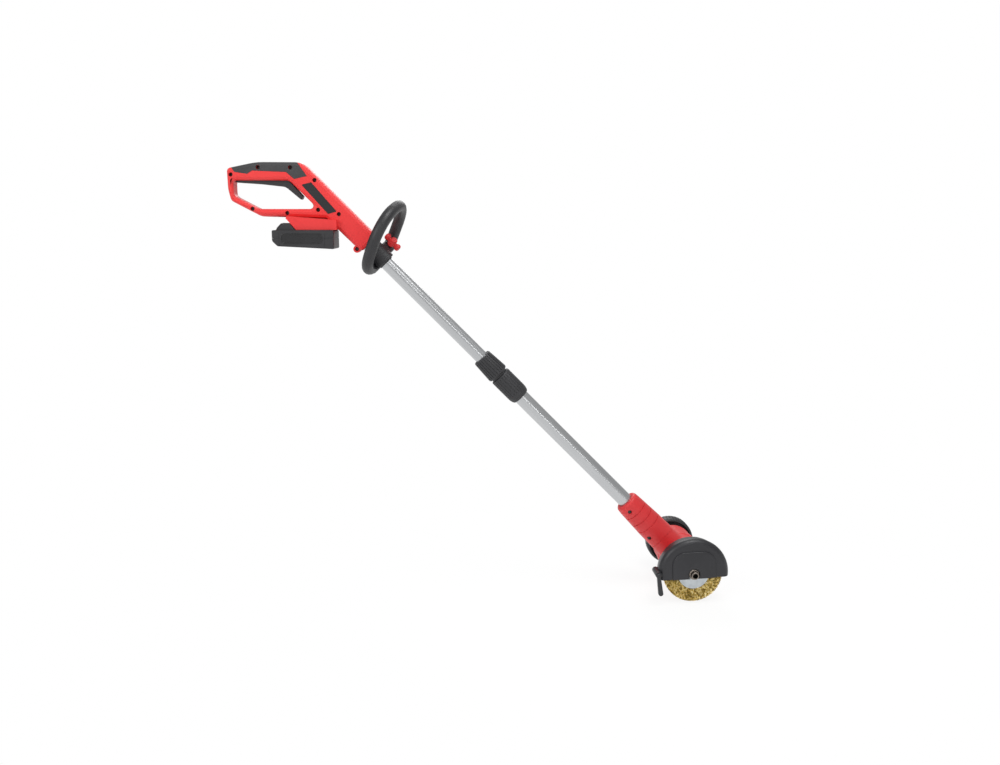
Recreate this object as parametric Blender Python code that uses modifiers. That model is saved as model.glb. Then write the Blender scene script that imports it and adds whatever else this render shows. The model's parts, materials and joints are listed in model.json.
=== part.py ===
"""Cordless joint cleaner: a battery D-handle, a telescopic pole and a driven wire brush beside a guide wheel.

Frame: +X forward, +Z up, the user's right hand side is -Y, and the origin is the middle of the rear grip.
"""

import math

import bmesh
import bpy
from mathutils import Vector

CLEAR = 0.0003  # gap between pieces that touch

# Handle, in the XZ plane
HANDLE_WIDTH = 0.036
EDGE_ROUND = 0.005
GRIP_TOP = 0.013
GRIP_UNDER = -0.0145
GRIP_REAR = -0.055
REAR_POST = 0.009  # from the rear face to the finger opening
OPENING_FLOOR = -0.058
BAR_UNDER = OPENING_FLOOR - 0.014
TILT = math.radians(45.5)  # pole below the horizontal
NECK_END_X = 0.158
NECK_END_Z = -0.114
NECK_TOP = 0.0195  # from the pole axis, as are the next two
NECK_UNDER = -0.016
NECK_INNER = -0.015
SHELL_WALL = 0.005
CORE_HALF = 0.013
SOFT_GRIP = 0.002
PLATE_THICK = 0.0008
BOSS_R = 0.0046
SCREW_HEAD_R = 0.0030
SCREW_HEAD_H = 0.0024
SCREW_R = 0.0014
SCREW_LENGTH = 0.020
SCREW_SEAT = 0.0085  # from the middle plane to the underside of the head

# Trigger
TRIGGER_WIDTH = 0.016
TRIGGER_PIN_X = -0.0400
TRIGGER_PIN_Z = -0.0120
TRIGGER_PIN_R = 0.0015
SPRING_R = 0.0024
SPRING_WIRE_R = 0.0004
SPRING_TURNS = 4

# Battery foot and pack
FOOT_WIDTH = 0.062
FOOT_UNDER = BAR_UNDER - 0.018
FOOT_FRONT = 0.1115
FOOT_REAR = FOOT_FRONT - 0.062
FOOT_WALL = 0.003
RAIL_WIDTH = FOOT_WIDTH - 0.010
RAIL_NECK_WIDTH = RAIL_WIDTH - 0.008
RAIL_HEIGHT = 0.0085
LIP = 0.0032
PACK_WIDTH = FOOT_WIDTH + 0.012
PACK_REAR = FOOT_FRONT - 0.0985
PACK_FRONT = FOOT_FRONT - 0.004
PACK_UNDER = FOOT_UNDER - 0.025  # at the rear
PACK_DIP = 0.0045  # how much lower the front is
PACK_WALL = 0.0018
PACK_CORNER = 0.0080  # the chamfer at the rear of the underside
CELL_R = 0.0091
CELL_LENGTH = PACK_WIDTH - 2 * PACK_WALL - 0.0054
CELL_PITCH = 0.0180
CELLS = 5

# Bail handle
BAIL_TUBE_R = 0.009
BAIL_HALF_WIDTH = 0.053
BAIL_LOW_WIDTH = BAIL_HALF_WIDTH - 0.008
BAIL_BEND = 0.044
BAIL_RISE = 0.086  # pole axis to the top bar, in the loop's plane
BAIL_DROP = 0.0210
BAIL_LEAN = math.radians(21)
BAIL_TURN = math.radians(-30)
BAIL_AT = 0.0215  # from the neck end down the pole
CLAMP_TOP_AT = 0.004
CLAMP_LENGTH = 0.034
CLAMP_WALL = 0.0055
SLEEVE_WALL = 0.0010
CLAMP_BOLT_R = 0.003
KNOB_R = 0.0085
BOLT_SEAT = -0.0230  # under the pole axis, in the boss below the clamp

# Pole
UPPER_R = 0.011
TUBE_WALL = 0.0012
LOWER_R = UPPER_R + TUBE_WALL + CLEAR
UPPER_IN_HANDLE = 0.055
UPPER_EXPOSED = 0.255  # neck end to the twist nut
UPPER_OVERLAP = 0.149
NUT_LENGTH = 0.041
SPIGOT_R = UPPER_R + 0.0035
NUT_TOP_R = UPPER_R + 0.0049
NUT_LOW_R = SPIGOT_R + 0.0037
COLLAR_LENGTH = 0.051
COLLAR_R = LOWER_R + 0.0052
SPIGOT_LENGTH = 0.017
LOWER_EXPOSED = 0.256  # collar to the head's mouth
LOWER_IN_HEAD = 0.064
LEAD_R = 0.0025

# Head
NECK_LENGTH = 0.140  # mouth to the spindle axis
MOUTH_R = LOWER_R + 0.008
NECK_R = MOUTH_R + 0.003
BARREL_R = 0.036
BARREL_FAR_R = BARREL_R - 0.0015
BARREL_NEAR = 0.058  # middle plane to the brush end
BARREL_FAR = 0.061
BARREL_STEP = 0.010
BARREL_WALL = 0.0035
MOTOR_R = BARREL_R - 0.014
MOTOR_NEAR = 0.010
MOTOR_FAR = 0.050
NOSE_R = 0.016
NOSE_LENGTH = 0.008
SPINDLE_R = 0.005
BEARING_R = 0.013
BEARING_THICK = 0.007
NECK_SCREW_SEAT = 0.0160
NECK_SCREW_LENGTH = 0.0290

# Planet gears
MODULE = 0.0013
SUN_TEETH = 12
PLANET_TEETH = 12
RING_TEETH = SUN_TEETH + 2 * PLANET_TEETH
PLANETS = 3
GEAR_THICK = 0.011
GEAR_AT = 0.0135
BACKLASH = 0.0005

# Brush
BRUSH_R = 0.050
BRUSH_WIDTH = 0.012
BRUSH_AT = BARREL_NEAR + NOSE_LENGTH + 0.005 + BRUSH_WIDTH / 2
BRUSH_CORE_R = BRUSH_R - 0.025
BRUSH_BORE_R = 0.0100
STRAND_COLUMNS = 50
STRAND_ROWS = 6
STRAND_TAPER = 0.45
FLANGE_R = BRUSH_CORE_R + 0.001
FLANGE_THICK = 0.0012

# Guard
GUARD_WALL = 0.003
GUARD_R = BRUSH_R + 0.0055 + GUARD_WALL
GUARD_BACK_R = GUARD_R - 0.0035
GUARD_FACE = BRUSH_AT + BRUSH_WIDTH / 2 + 0.007
GUARD_BACK = BARREL_NEAR + 0.002
GUARD_DROP = 0.007  # flat edge below the spindle axis
GUARD_TURN = math.radians(2.4)
PLATEAU_R = GUARD_R - 0.022
PLATEAU_RISE = 0.002
NOTCH_R = 0.0098
LEVER_LENGTH = 0.036

# Guide wheel
WHEEL_R = 0.042
WHEEL_WIDTH = 0.024
WHEEL_AT = BARREL_FAR + 0.007 + WHEEL_WIDTH / 2
WHEEL_RIM = 0.005
WHEEL_HUB_R = 0.011
AXLE_R = 0.005


# Scene, frames and materials


def clear_scene():
    for obj in list(bpy.data.objects):
        bpy.data.objects.remove(obj, do_unlink=True)


def make_collection(name):
    made = bpy.data.collections.new(name)
    bpy.context.scene.collection.children.link(made)
    return made


def make_empty(name, parent=None, location=(0, 0, 0), rotation=(0, 0, 0)):
    empty = bpy.data.objects.new(name, None)
    empty.empty_display_size = 0.02
    PARTS.objects.link(empty)
    empty.parent = parent
    empty.location = location
    empty.rotation_euler = rotation
    return empty


def make_material(name, colour, roughness, metallic=0.0):
    made = bpy.data.materials.new(name)
    made.use_nodes = True
    shader = made.node_tree.nodes["Principled BSDF"]
    shader.inputs["Base Color"].default_value = (*colour, 1.0)
    shader.inputs["Roughness"].default_value = roughness
    shader.inputs["Metallic"].default_value = metallic
    return made


def add_object(name, mesh, parent=None, location=(0, 0, 0), rotation=(0, 0, 0), cutter=False):
    obj = bpy.data.objects.new(name, mesh)
    (CUTTERS if cutter else PARTS).objects.link(obj)
    obj.parent = parent
    obj.location = location
    obj.rotation_euler = rotation
    if cutter:
        obj.hide_render = True
        obj.display_type = "WIRE"
    return obj


def set_look(obj, material, smooth=True):
    obj.data.materials.clear()
    obj.data.materials.append(material)
    if smooth and obj.type == "MESH":
        obj.data.shade_smooth()
        obj.data.set_sharp_from_angle(angle=math.radians(35))
    return obj


# Shapes


def bmesh_to_mesh(name, made):
    mesh = bpy.data.meshes.new(name)
    made.to_mesh(mesh)
    made.free()
    return mesh


def box(name, low, high, **place):
    """A box between two corners."""
    made = bmesh.new()
    bmesh.ops.create_cube(made, size=1.0)
    low, high = Vector(low), Vector(high)
    for vertex in made.verts:
        share = vertex.co + Vector((0.5, 0.5, 0.5))
        vertex.co = low + Vector(s * (b - a) for s, a, b in zip(share, low, high))
    return add_object(name, bmesh_to_mesh(name, made), **place)


def rods_along_y(name, rods, sides=12, **place):
    """Cylinders along Y in one mesh, each as x, z, radius and its two ends."""
    made = bmesh.new()
    for x, z, radius, start, end in rods:
        low, high = min(start, end), max(start, end)
        ring = bmesh.ops.create_cone(
            made, cap_ends=True, segments=sides, radius1=radius, radius2=radius, depth=high - low
        )["verts"]
        for vertex in ring:
            vertex.co = Vector((x + vertex.co.x, (low + high) / 2 - vertex.co.z, z + vertex.co.y))
    return add_object(name, bmesh_to_mesh(name, made), **place)


def turned(name, profile, sides=32, closed=False, **place):
    """A profile of radius and height turned about the local Z axis, given down its outer side."""
    made = bmesh.new()
    points = [made.verts.new((radius, 0, height)) for radius, height in profile]
    for start, end in zip(points, points[1:]):
        made.edges.new((start, end))
    if closed:
        made.edges.new((points[-1], points[0]))
    obj = add_object(name, bmesh_to_mesh(name, made), **place)
    screw = obj.modifiers.new("turn", "SCREW")
    screw.axis = "Z"
    screw.angle = 2 * math.pi
    screw.steps = sides
    screw.render_steps = sides
    screw.use_merge_vertices = True
    screw.merge_threshold = 0.000001
    screw.use_smooth_shade = True
    return obj


def round_corners(corners, segments=3):
    """An outline from corners of x, y and fillet radius."""
    points = []
    count = len(corners)
    for index, (x, y, radius) in enumerate(corners):
        here = Vector((x, y))
        before = Vector(corners[index - 1][:2]) - here
        after = Vector(corners[(index + 1) % count][:2]) - here
        half = before.angle(after) / 2
        if radius <= 0 or half > math.radians(89.5):
            points.append(here)
            continue
        reach = min(radius / math.tan(half), 0.45 * before.length, 0.45 * after.length)
        radius = reach * math.tan(half)
        centre = here + (before.normalized() + after.normalized()).normalized() * radius / math.sin(half)
        start = here + before.normalized() * reach - centre
        end = here + after.normalized() * reach - centre
        sweep = start.angle_signed(end)
        for step in range(segments + 1):
            angle = -sweep * step / segments
            points.append(
                centre
                + Vector(
                    (
                        start.x * math.cos(angle) - start.y * math.sin(angle),
                        start.x * math.sin(angle) + start.y * math.cos(angle),
                    )
                )
            )
    return points


def plate(name, loops, thickness, edge=0.0, edge_steps=1, upright=True, **place):
    """An outline with holes, extruded about its own plane: XZ when upright, XY when flat."""
    curve = bpy.data.curves.new(name, "CURVE")
    curve.dimensions = "2D"
    curve.fill_mode = "BOTH"
    curve.extrude = thickness / 2 - edge
    curve.bevel_depth = edge
    curve.bevel_resolution = edge_steps
    curve.offset = -edge
    for loop in loops:
        spline = curve.splines.new("POLY")
        spline.points.add(len(loop) - 1)
        for point, (x, y) in zip(spline.points, loop):
            point.co = (x, y, 0, 1)
        spline.use_cyclic_u = True
    guide = bpy.data.objects.new(name + "_curve", curve)
    bpy.context.scene.collection.objects.link(guide)
    mesh = welded_mesh(guide, name)
    rotation = (math.pi / 2, 0, 0) if upright else (0, 0, 0)
    place.setdefault("rotation", rotation)
    return add_object(name, mesh, **place)


def welded_mesh(guide, name):
    """The mesh of a curve object, closed at its caps. The curve is removed."""
    bpy.context.view_layer.update()
    graph = bpy.context.evaluated_depsgraph_get()
    mesh = bpy.data.meshes.new_from_object(guide.evaluated_get(graph))
    mesh.name = name
    made = bmesh.new()
    made.from_mesh(mesh)
    bmesh.ops.remove_doubles(made, verts=made.verts, dist=0.000002)
    bmesh.ops.recalc_face_normals(made, faces=made.faces)
    made.to_mesh(mesh)
    made.free()
    bpy.data.objects.remove(guide)
    return mesh


def bar_along(name, points, radius, resolution=2, cyclic=False, **place):
    """A round bar along a line of points."""
    curve = bpy.data.curves.new(name, "CURVE")
    curve.dimensions = "3D"
    curve.bevel_depth = radius
    curve.bevel_resolution = resolution
    curve.use_fill_caps = not cyclic
    spline = curve.splines.new("POLY")
    spline.points.add(len(points) - 1)
    for point, place_of in zip(spline.points, points):
        point.co = (*place_of, 1)
    spline.use_cyclic_u = cyclic
    guide = bpy.data.objects.new(name + "_curve", curve)
    bpy.context.scene.collection.objects.link(guide)
    return add_object(name, welded_mesh(guide, name), **place)


def combine(obj, other, operation, solver="EXACT"):
    modifier = obj.modifiers.new(operation.lower() + "_" + other.name, "BOOLEAN")
    modifier.operation = operation
    modifier.solver = solver
    modifier.object = other
    return obj


def cut(obj, *others, solver="EXACT"):
    for other in others:
        combine(obj, other, "DIFFERENCE", solver)
    return obj


def join(obj, *others):
    for other in others:
        combine(obj, other, "UNION")
    return obj


def round_edges(obj, width, segments=2, angle=40):
    bevel = obj.modifiers.new("edges", "BEVEL")
    bevel.width = width
    bevel.segments = segments
    bevel.limit_method = "ANGLE"
    bevel.angle_limit = math.radians(angle)
    return obj


# Lines shared by the handle's pieces


def neck_point(up, out):
    """A point in XZ, this far up the pole axis from the neck end and out towards its front."""
    x = NECK_END_X - up * math.cos(TILT) + out * math.sin(TILT)
    z = NECK_END_Z + up * math.sin(TILT) + out * math.cos(TILT)
    return x, z


def neck_at_height(out, height):
    """Where the line at this distance from the pole axis reaches a height."""
    up = (height - NECK_END_Z - out * math.cos(TILT)) / math.sin(TILT)
    return neck_point(up, out)


def handle_outline():
    crest = neck_at_height(NECK_TOP, GRIP_TOP)
    return round_corners(
        [
            (*neck_point(0, NECK_UNDER + 0.001), 0.006),
            (*neck_point(0, NECK_TOP), 0.006),
            (*crest, 0.026),
            (GRIP_REAR + 0.045, GRIP_TOP, 0.10),
            (GRIP_REAR, GRIP_TOP - 0.0095, 0.0058),
            (GRIP_REAR + 0.0005, OPENING_FLOOR + 0.030, 0.05),
            (GRIP_REAR + 0.0045, OPENING_FLOOR + 0.0125, 0.009),
            (GRIP_REAR + 0.050, BAR_UNDER + 0.0025, 0.022),
            (*neck_at_height(NECK_UNDER, BAR_UNDER), 0.004),
        ]
    )


def opening_outline():
    rear = GRIP_REAR + REAR_POST
    points = round_corners(
        [
            (*neck_at_height(NECK_INNER, GRIP_UNDER), 0.012),
            (rear, GRIP_UNDER, 0.005),
            (rear, OPENING_FLOOR + 0.020, 0.008),
            (rear + 0.038, OPENING_FLOOR, 0.014),
            (*neck_at_height(NECK_INNER, OPENING_FLOOR), 0.005),
        ]
    )
    return points[::-1]


def core_outline():
    rear = GRIP_REAR + REAR_POST + 0.010
    return round_corners(
        [
            (*neck_point(0.035, NECK_INNER + SHELL_WALL), 0.002),
            (*neck_point(0.035, NECK_TOP - SHELL_WALL), 0.002),
            (*neck_at_height(NECK_TOP - SHELL_WALL, GRIP_TOP - SHELL_WALL), 0.02),
            (rear + 0.026, GRIP_TOP - SHELL_WALL - 0.0008, 0.02),
            (rear, GRIP_UNDER + 0.0155, 0.002),
            (rear, GRIP_UNDER + SHELL_WALL, 0.002),
            (*neck_at_height(NECK_INNER + SHELL_WALL, GRIP_UNDER + SHELL_WALL), 0.006),
        ],
        3,
    )


def trigger_outline():
    bend = neck_at_height(NECK_INNER, GRIP_UNDER)
    tip = neck_point(0.123, NECK_INNER - 0.0025)
    return round_corners(
        [
            (TRIGGER_PIN_X - 0.0035, TRIGGER_PIN_Z + 0.0035, 0.0032),
            (TRIGGER_PIN_X - 0.0035, GRIP_UNDER - 0.0030, 0.002),
            (TRIGGER_PIN_X + 0.035, GRIP_UNDER - 0.0055, 0.05),
            (bend[0] - 0.007, GRIP_UNDER - 0.0095, 0.016),
            (*neck_point(0.121, NECK_INNER - 0.0088), 0.0018),
            (*tip, 0.0015),
            (bend[0] - 0.0035, GRIP_UNDER + 0.0030, 0.006),
        ]
    )


def trigger_top(x):
    """The height of the lever's upper side."""
    rear = TRIGGER_PIN_X - 0.0035
    front = neck_at_height(NECK_INNER, GRIP_UNDER)[0] - 0.0035
    share = (x - rear) / (front - rear)
    return (1 - share) * (TRIGGER_PIN_Z + 0.0035) + share * (GRIP_UNDER + 0.0030)


def slot_outline():
    """The way through the grip's underside that the trigger swings in."""
    bend = neck_at_height(NECK_INNER, GRIP_UNDER)
    return [
        Vector((TRIGGER_PIN_X - 0.0055, TRIGGER_PIN_Z + 0.0055)),
        Vector((TRIGGER_PIN_X - 0.0055, GRIP_UNDER - 0.0080)),
        Vector((bend[0] - 0.005, GRIP_UNDER - 0.0120)),
        Vector(neck_point(0.1175, NECK_INNER - 0.010)),
        Vector(neck_point(0.1175, NECK_INNER + 0.010)),
        Vector((bend[0] + 0.004, GRIP_UNDER + 0.010)),
    ]


def grip_outline(spread=0.0):
    """The soft grip's lower edge, closed well above the handle."""
    right = neck_at_height(NECK_TOP, GRIP_TOP)[0]
    return [
        Vector((GRIP_REAR + 0.0060 - spread, GRIP_TOP + 0.030)),
        Vector((GRIP_REAR + 0.0060 - spread, GRIP_UNDER + 0.0215)),
        Vector((GRIP_REAR + 0.0120, GRIP_UNDER + 0.0125 - spread)),
        Vector((GRIP_REAR + 0.0310 + spread / 2, GRIP_UNDER + 0.0095 - spread)),
        Vector((GRIP_REAR + 0.0390, GRIP_UNDER + 0.0145 - spread)),
        Vector((right - 0.0250, GRIP_UNDER + 0.0125 - spread)),
        Vector((right - 0.0130 - spread / 2, GRIP_UNDER + 0.0020 - spread)),
        Vector((right + 0.0065 + spread, GRIP_UNDER + 0.0065 - spread / 2)),
        Vector((right - 0.0090 + spread, GRIP_TOP + 0.0010)),
        Vector((right - 0.0090 + spread, GRIP_TOP + 0.030)),
    ]


def handle_screw_places():
    """Each screw of the handle as x and z."""
    rear = GRIP_REAR + 0.0062
    return [
        (rear, GRIP_UNDER + 0.0085),
        (GRIP_REAR + 0.048, GRIP_TOP - 0.0080),
        (GRIP_REAR + 0.097, GRIP_TOP - 0.0082),
        neck_point(0.127, NECK_TOP - 0.0062),
        (GRIP_REAR + 0.037, OPENING_FLOOR + 0.0002),
        (FOOT_REAR - 0.0145, OPENING_FLOOR - 0.0062),
        neck_point(0.092, NECK_UNDER + 0.0005),
        neck_point(0.065, NECK_UNDER + 0.0185),
        neck_point(0.008, NECK_UNDER - 0.0005),
    ]


# Handle


def handle_block(name):
    """The whole handle as one solid."""
    return plate(
        name,
        [handle_outline(), opening_outline()],
        HANDLE_WIDTH,
        edge=EDGE_ROUND,
        parent=FRAME,
    )


def foot_profile():
    return [
        Vector((FOOT_REAR - 0.0155, BAR_UNDER - 0.0003)),
        Vector((FOOT_REAR, FOOT_UNDER)),
        Vector((FOOT_FRONT, FOOT_UNDER)),
        Vector((FOOT_FRONT, BAR_UNDER - 0.0030)),
        Vector((FOOT_REAR - 0.0135, BAR_UNDER + 0.0030)),
    ]


def rail_cutter(name):
    """The channel that the pack slides in, open at the rear."""
    slot_top = FOOT_UNDER + LIP + RAIL_HEIGHT - LIP + 2 * CLEAR
    upper = box(
        name,
        (FOOT_REAR - 0.030, -RAIL_WIDTH / 2 - CLEAR, FOOT_UNDER + LIP),
        (FOOT_FRONT - FOOT_WALL, RAIL_WIDTH / 2 + CLEAR, slot_top + LIP),
        parent=FRAME,
        cutter=True,
    )
    lower = box(
        name + "_mouth",
        (FOOT_REAR - 0.030, -RAIL_NECK_WIDTH / 2 - CLEAR, FOOT_UNDER - 0.010),
        (FOOT_FRONT - FOOT_WALL, RAIL_NECK_WIDTH / 2 + CLEAR, FOOT_UNDER + LIP + 0.001),
        parent=FRAME,
        cutter=True,
    )
    return join(upper, lower)


def make_handle_shell(name, side, material):
    """One half of the clamshell. Side is -1 for the user's right and 1 for the left."""
    reach = HANDLE_WIDTH / 2
    shell = handle_block(name)
    foot = plate(name + "_foot", [foot_profile()], FOOT_WIDTH, parent=FRAME, cutter=True)
    boss_end = neck_point(0.008, NECK_UNDER - 0.0005)
    ear = rods_along_y(
        name + "_ear",
        [(*boss_end, BOSS_R + 0.0012, -reach + 0.003, reach - 0.003)],
        16,
        parent=FRAME,
        cutter=True,
    )
    core = plate(name + "_core", [core_outline()], 2 * CORE_HALF, parent=FRAME, cutter=True)
    places = handle_screw_places()
    inside = [places[index] for index in (1, 2, 3, 7)]
    bosses = rods_along_y(
        name + "_bosses",
        [(x, z, BOSS_R, side * CLEAR / 2, side * (CORE_HALF + 0.002)) for x, z in inside],
        12,
        parent=FRAME,
        cutter=True,
    )
    if side < 0:
        bores = screw_ways(name, places, SCREW_SEAT, reach + 0.004, FRAME)
    else:
        depth = SCREW_LENGTH - SCREW_SEAT + 0.001
        rods = [(x, z, SCREW_R + CLEAR, -0.002, depth) for x, z in places]
        bores = [rods_along_y(name + "_bores", rods, 8, parent=FRAME, cutter=True)]
    tube = rods_along_pole(name + "_tube_bore", UPPER_R + CLEAR, -0.005, UPPER_IN_HANDLE + 0.001)
    slot = plate(
        name + "_slot", [slot_outline()], TRIGGER_WIDTH + 2 * CLEAR, parent=FRAME, cutter=True
    )
    pin = rods_along_y(
        name + "_pin_bore",
        [(TRIGGER_PIN_X, TRIGGER_PIN_Z, TRIGGER_PIN_R + CLEAR, -0.0125, 0.0125)],
        12,
        parent=FRAME,
        cutter=True,
    )
    half = box(
        name + "_half",
        (-0.3, min(-side * 0.1, side * CLEAR / 2), -0.3),
        (0.3, max(-side * 0.1, side * CLEAR / 2), 0.3),
        parent=FRAME,
        cutter=True,
    )
    join(shell, foot, ear)
    cut(shell, core)
    join(shell, bosses)
    cut(shell, tube, slot, pin)
    cut(shell, *bores, rail_cutter(name + "_rail"), solver="MANIFOLD")
    if side < 0:
        cut(shell, plate_recess(name + "_plate_recess"), solver="MANIFOLD")
    recess = grip_region(name + "_grip_recess", SOFT_GRIP + CLEAR, CLEAR)
    cut(shell, recess, half, solver="MANIFOLD")
    return set_look(shell, material)


def screw_ways(name, places, seat, reach, parent):
    """Stepped holes for screws along Y: the shank's, and the head's from its seat outwards."""
    ways = []
    for index, (x, z) in enumerate(places):
        ways.append(
            turned(
                "%s_screw_way_%d" % (name, index + 1),
                [
                    (0, reach),
                    (SCREW_HEAD_R + CLEAR, reach),
                    (SCREW_HEAD_R + CLEAR, seat),
                    (SCREW_R + CLEAR, seat),
                    (SCREW_R + CLEAR, -0.002),
                    (0, -0.002),
                ],
                12,
                parent=parent,
                location=(x, 0, z),
                rotation=(math.pi / 2, 0, 0),
                cutter=True,
            )
        )
    return ways


def rods_along_pole(name, radius, start, end, sides=20, **place):
    """A cylinder on the pole axis between two distances up from the neck end."""
    place.setdefault("cutter", True)
    rod = turned(
        name,
        [(0, end), (radius, end), (radius, start), (0, start)],
        sides,
        parent=POLE,
        **place,
    )
    return rod


def grip_region(name, depth, spread):
    """The outer layer of the grip, this deep, as a cutter."""
    region = plate(name, [grip_outline(spread)], HANDLE_WIDTH + 0.02, parent=FRAME, cutter=True)
    inner = plate(
        name + "_inner",
        [handle_outline()],
        HANDLE_WIDTH - 2 * depth,
        edge=EDGE_ROUND - 0.001,
        parent=FRAME,
        location=(0, 0, -depth),
        cutter=True,
    )
    return cut(region, inner)


def make_soft_grip(name, side, material):
    grip = handle_block(name)
    region = grip_region(name + "_region", SOFT_GRIP, 0.0)
    places = handle_screw_places()
    room = SCREW_HEAD_R + CLEAR
    holes = rods_along_y(
        name + "_holes",
        [(*places[index], room, -0.03, 0.0) for index in (1, 2)],
        16,
        parent=FRAME,
        cutter=True,
    )
    half = box(
        name + "_half",
        (-0.3, min(-side * 0.1, side * CLEAR / 2), -0.3),
        (0.3, max(-side * 0.1, side * CLEAR / 2), 0.3),
        parent=FRAME,
        cutter=True,
    )
    combine(grip, region, "INTERSECT")
    cut(grip, half)
    if side < 0:
        cut(grip, holes)
    return set_look(grip, material)


def plate_outline(spread):
    return round_corners(
        [
            (*neck_point(0.136 + spread, NECK_INNER + 0.0090 - spread), 0.001),
            (*neck_point(0.077 - spread, NECK_INNER + 0.0060 - spread), 0.001),
            (*neck_point(0.070 - spread, NECK_INNER + 0.0180 + spread), 0.001),
            (*neck_point(0.128 + spread, NECK_INNER + 0.0220 + spread), 0.001),
        ],
        2,
    )


def plate_recess(name):
    return plate(
        name,
        [plate_outline(CLEAR)],
        2 * PLATE_THICK,
        parent=FRAME,
        location=(0, -HANDLE_WIDTH / 2, 0),
        cutter=True,
    )


def make_rating_plate(material):
    made = plate(
        "rating_plate",
        [plate_outline(0)],
        PLATE_THICK - CLEAR,
        parent=FRAME,
        location=(0, -HANDLE_WIDTH / 2 + PLATE_THICK / 2 - CLEAR / 2, 0),
    )
    return set_look(made, material)


def make_handle_screws(material):
    for index, (x, z) in enumerate(handle_screw_places()):
        make_screw("handle_screw_%d" % (index + 1), x, z, SCREW_LENGTH, SCREW_SEAT, material, FRAME)


def make_screw(name, x, z, length, seat, material, parent):
    """A pan head screw along Y, its head towards -Y."""
    made = turned(
        name,
        [
            (0, seat + SCREW_HEAD_H),
            (SCREW_HEAD_R, seat + SCREW_HEAD_H * 0.8),
            (SCREW_HEAD_R, seat + CLEAR),
            (SCREW_R, seat + CLEAR),
            (SCREW_R, seat - length),
            (0, seat - length),
        ],
        8,
        parent=parent,
        location=(x, 0, z),
        rotation=(math.pi / 2, 0, 0),
    )
    return set_look(made, material, smooth=False)


# Trigger and switch


def make_trigger(material):
    points = [point - Vector((TRIGGER_PIN_X, TRIGGER_PIN_Z)) for point in trigger_outline()]
    made = plate("trigger", [points], TRIGGER_WIDTH, edge=0.001, parent=TRIGGER)
    bore = rods_along_y(
        "trigger_bore", [(0, 0, TRIGGER_PIN_R + CLEAR, -0.01, 0.01)], 12, parent=TRIGGER, cutter=True
    )
    return set_look(cut(made, bore), material)


def make_trigger_pin(material):
    made = rods_along_y(
        "trigger_pin",
        [(TRIGGER_PIN_X, TRIGGER_PIN_Z, TRIGGER_PIN_R, -0.0122, 0.0122)],
        12,
        parent=FRAME,
    )
    return set_look(made, material)


def make_trigger_spring(material):
    """An open coil between the lever and the roof of the grip."""
    x = TRIGGER_PIN_X + 0.0415
    low = trigger_top(x - SPRING_R) + SPRING_WIRE_R + CLEAR
    high = GRIP_TOP - SHELL_WALL - 0.0010 - SPRING_WIRE_R - CLEAR
    count = SPRING_TURNS * 8
    points = []
    for index in range(count + 1):
        angle = 2 * math.pi * index / 8
        height = low + (high - low) * index / count
        points.append((x + SPRING_R * math.cos(angle), SPRING_R * math.sin(angle), height))
    made = bar_along("trigger_spring", points, SPRING_WIRE_R, resolution=0, parent=FRAME)
    return set_look(made, material)


def make_switch(material):
    """The switch, with its plunger just above the pressed lever."""
    body = box("switch_body", (0.006, -0.008, -0.0015), (0.034, 0.008, 0.0068), parent=FRAME)
    plunger = box(
        "switch_plunger", (0.011, -0.003, -0.0038), (0.018, 0.003, 0.0010), parent=FRAME, cutter=True
    )
    rear = box(
        "switch_seats", (0.012, -CORE_HALF + CLEAR, 0.0005), (0.028, CORE_HALF - CLEAR, 0.0050),
        parent=FRAME, cutter=True,
    )
    return set_look(join(body, plunger, rear), material, smooth=False)


# Battery


def make_terminal_block(material):
    """The fixed block at the front of the rail channel, with three blades."""
    front = FOOT_FRONT - FOOT_WALL - CLEAR
    low = FOOT_UNDER + LIP + CLEAR
    body = box(
        "battery_terminal_block",
        (front - 0.0100, -0.020, low),
        (front, 0.020, low + RAIL_HEIGHT - LIP + CLEAR),
        parent=FRAME,
    )
    blades = []
    for index in (-1, 0, 1):
        y = index * 0.012
        blades.append(
            box(
                "terminal_blade_%d" % (index + 2),
                (front - 0.0260, y - 0.0005, low + 0.0012),
                (front - 0.0090, y + 0.0005, low + 0.0042),
                parent=FRAME,
                cutter=True,
            )
        )
    return set_look(join(body, *blades), material, smooth=False)


def pack_profile():
    top = FOOT_UNDER - CLEAR
    return [
        Vector((PACK_REAR, top)),
        Vector((PACK_REAR, PACK_UNDER + PACK_CORNER)),
        Vector((PACK_REAR + PACK_CORNER, PACK_UNDER)),
        Vector((PACK_FRONT, PACK_UNDER - PACK_DIP)),
        Vector((PACK_FRONT, top)),
    ]


def pack_split():
    return PACK_UNDER + 0.0125


def pack_block(name):
    """The outside of the pack, without its rails and hump."""
    made = plate(name, [pack_profile()], PACK_WIDTH, parent=BATTERY)
    return round_edges(made, 0.0020, 2, 30)


def pack_hump(name):
    """The raised rear of the pack, behind the foot."""
    top = FOOT_UNDER - CLEAR
    made = plate(
        name,
        [
            [
                Vector((PACK_REAR + 0.0020, top - 0.0030)),
                Vector((FOOT_REAR + 0.0010, top - 0.0030)),
                Vector((FOOT_REAR - 0.0010, top)),
                Vector((FOOT_REAR - 0.0095, top + 0.0105)),
                Vector((PACK_REAR + 0.0160, top + 0.0110)),
            ]
        ],
        FOOT_WIDTH,
        parent=BATTERY,
        cutter=True,
    )
    return round_edges(made, 0.0012, 1, 30)


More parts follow.
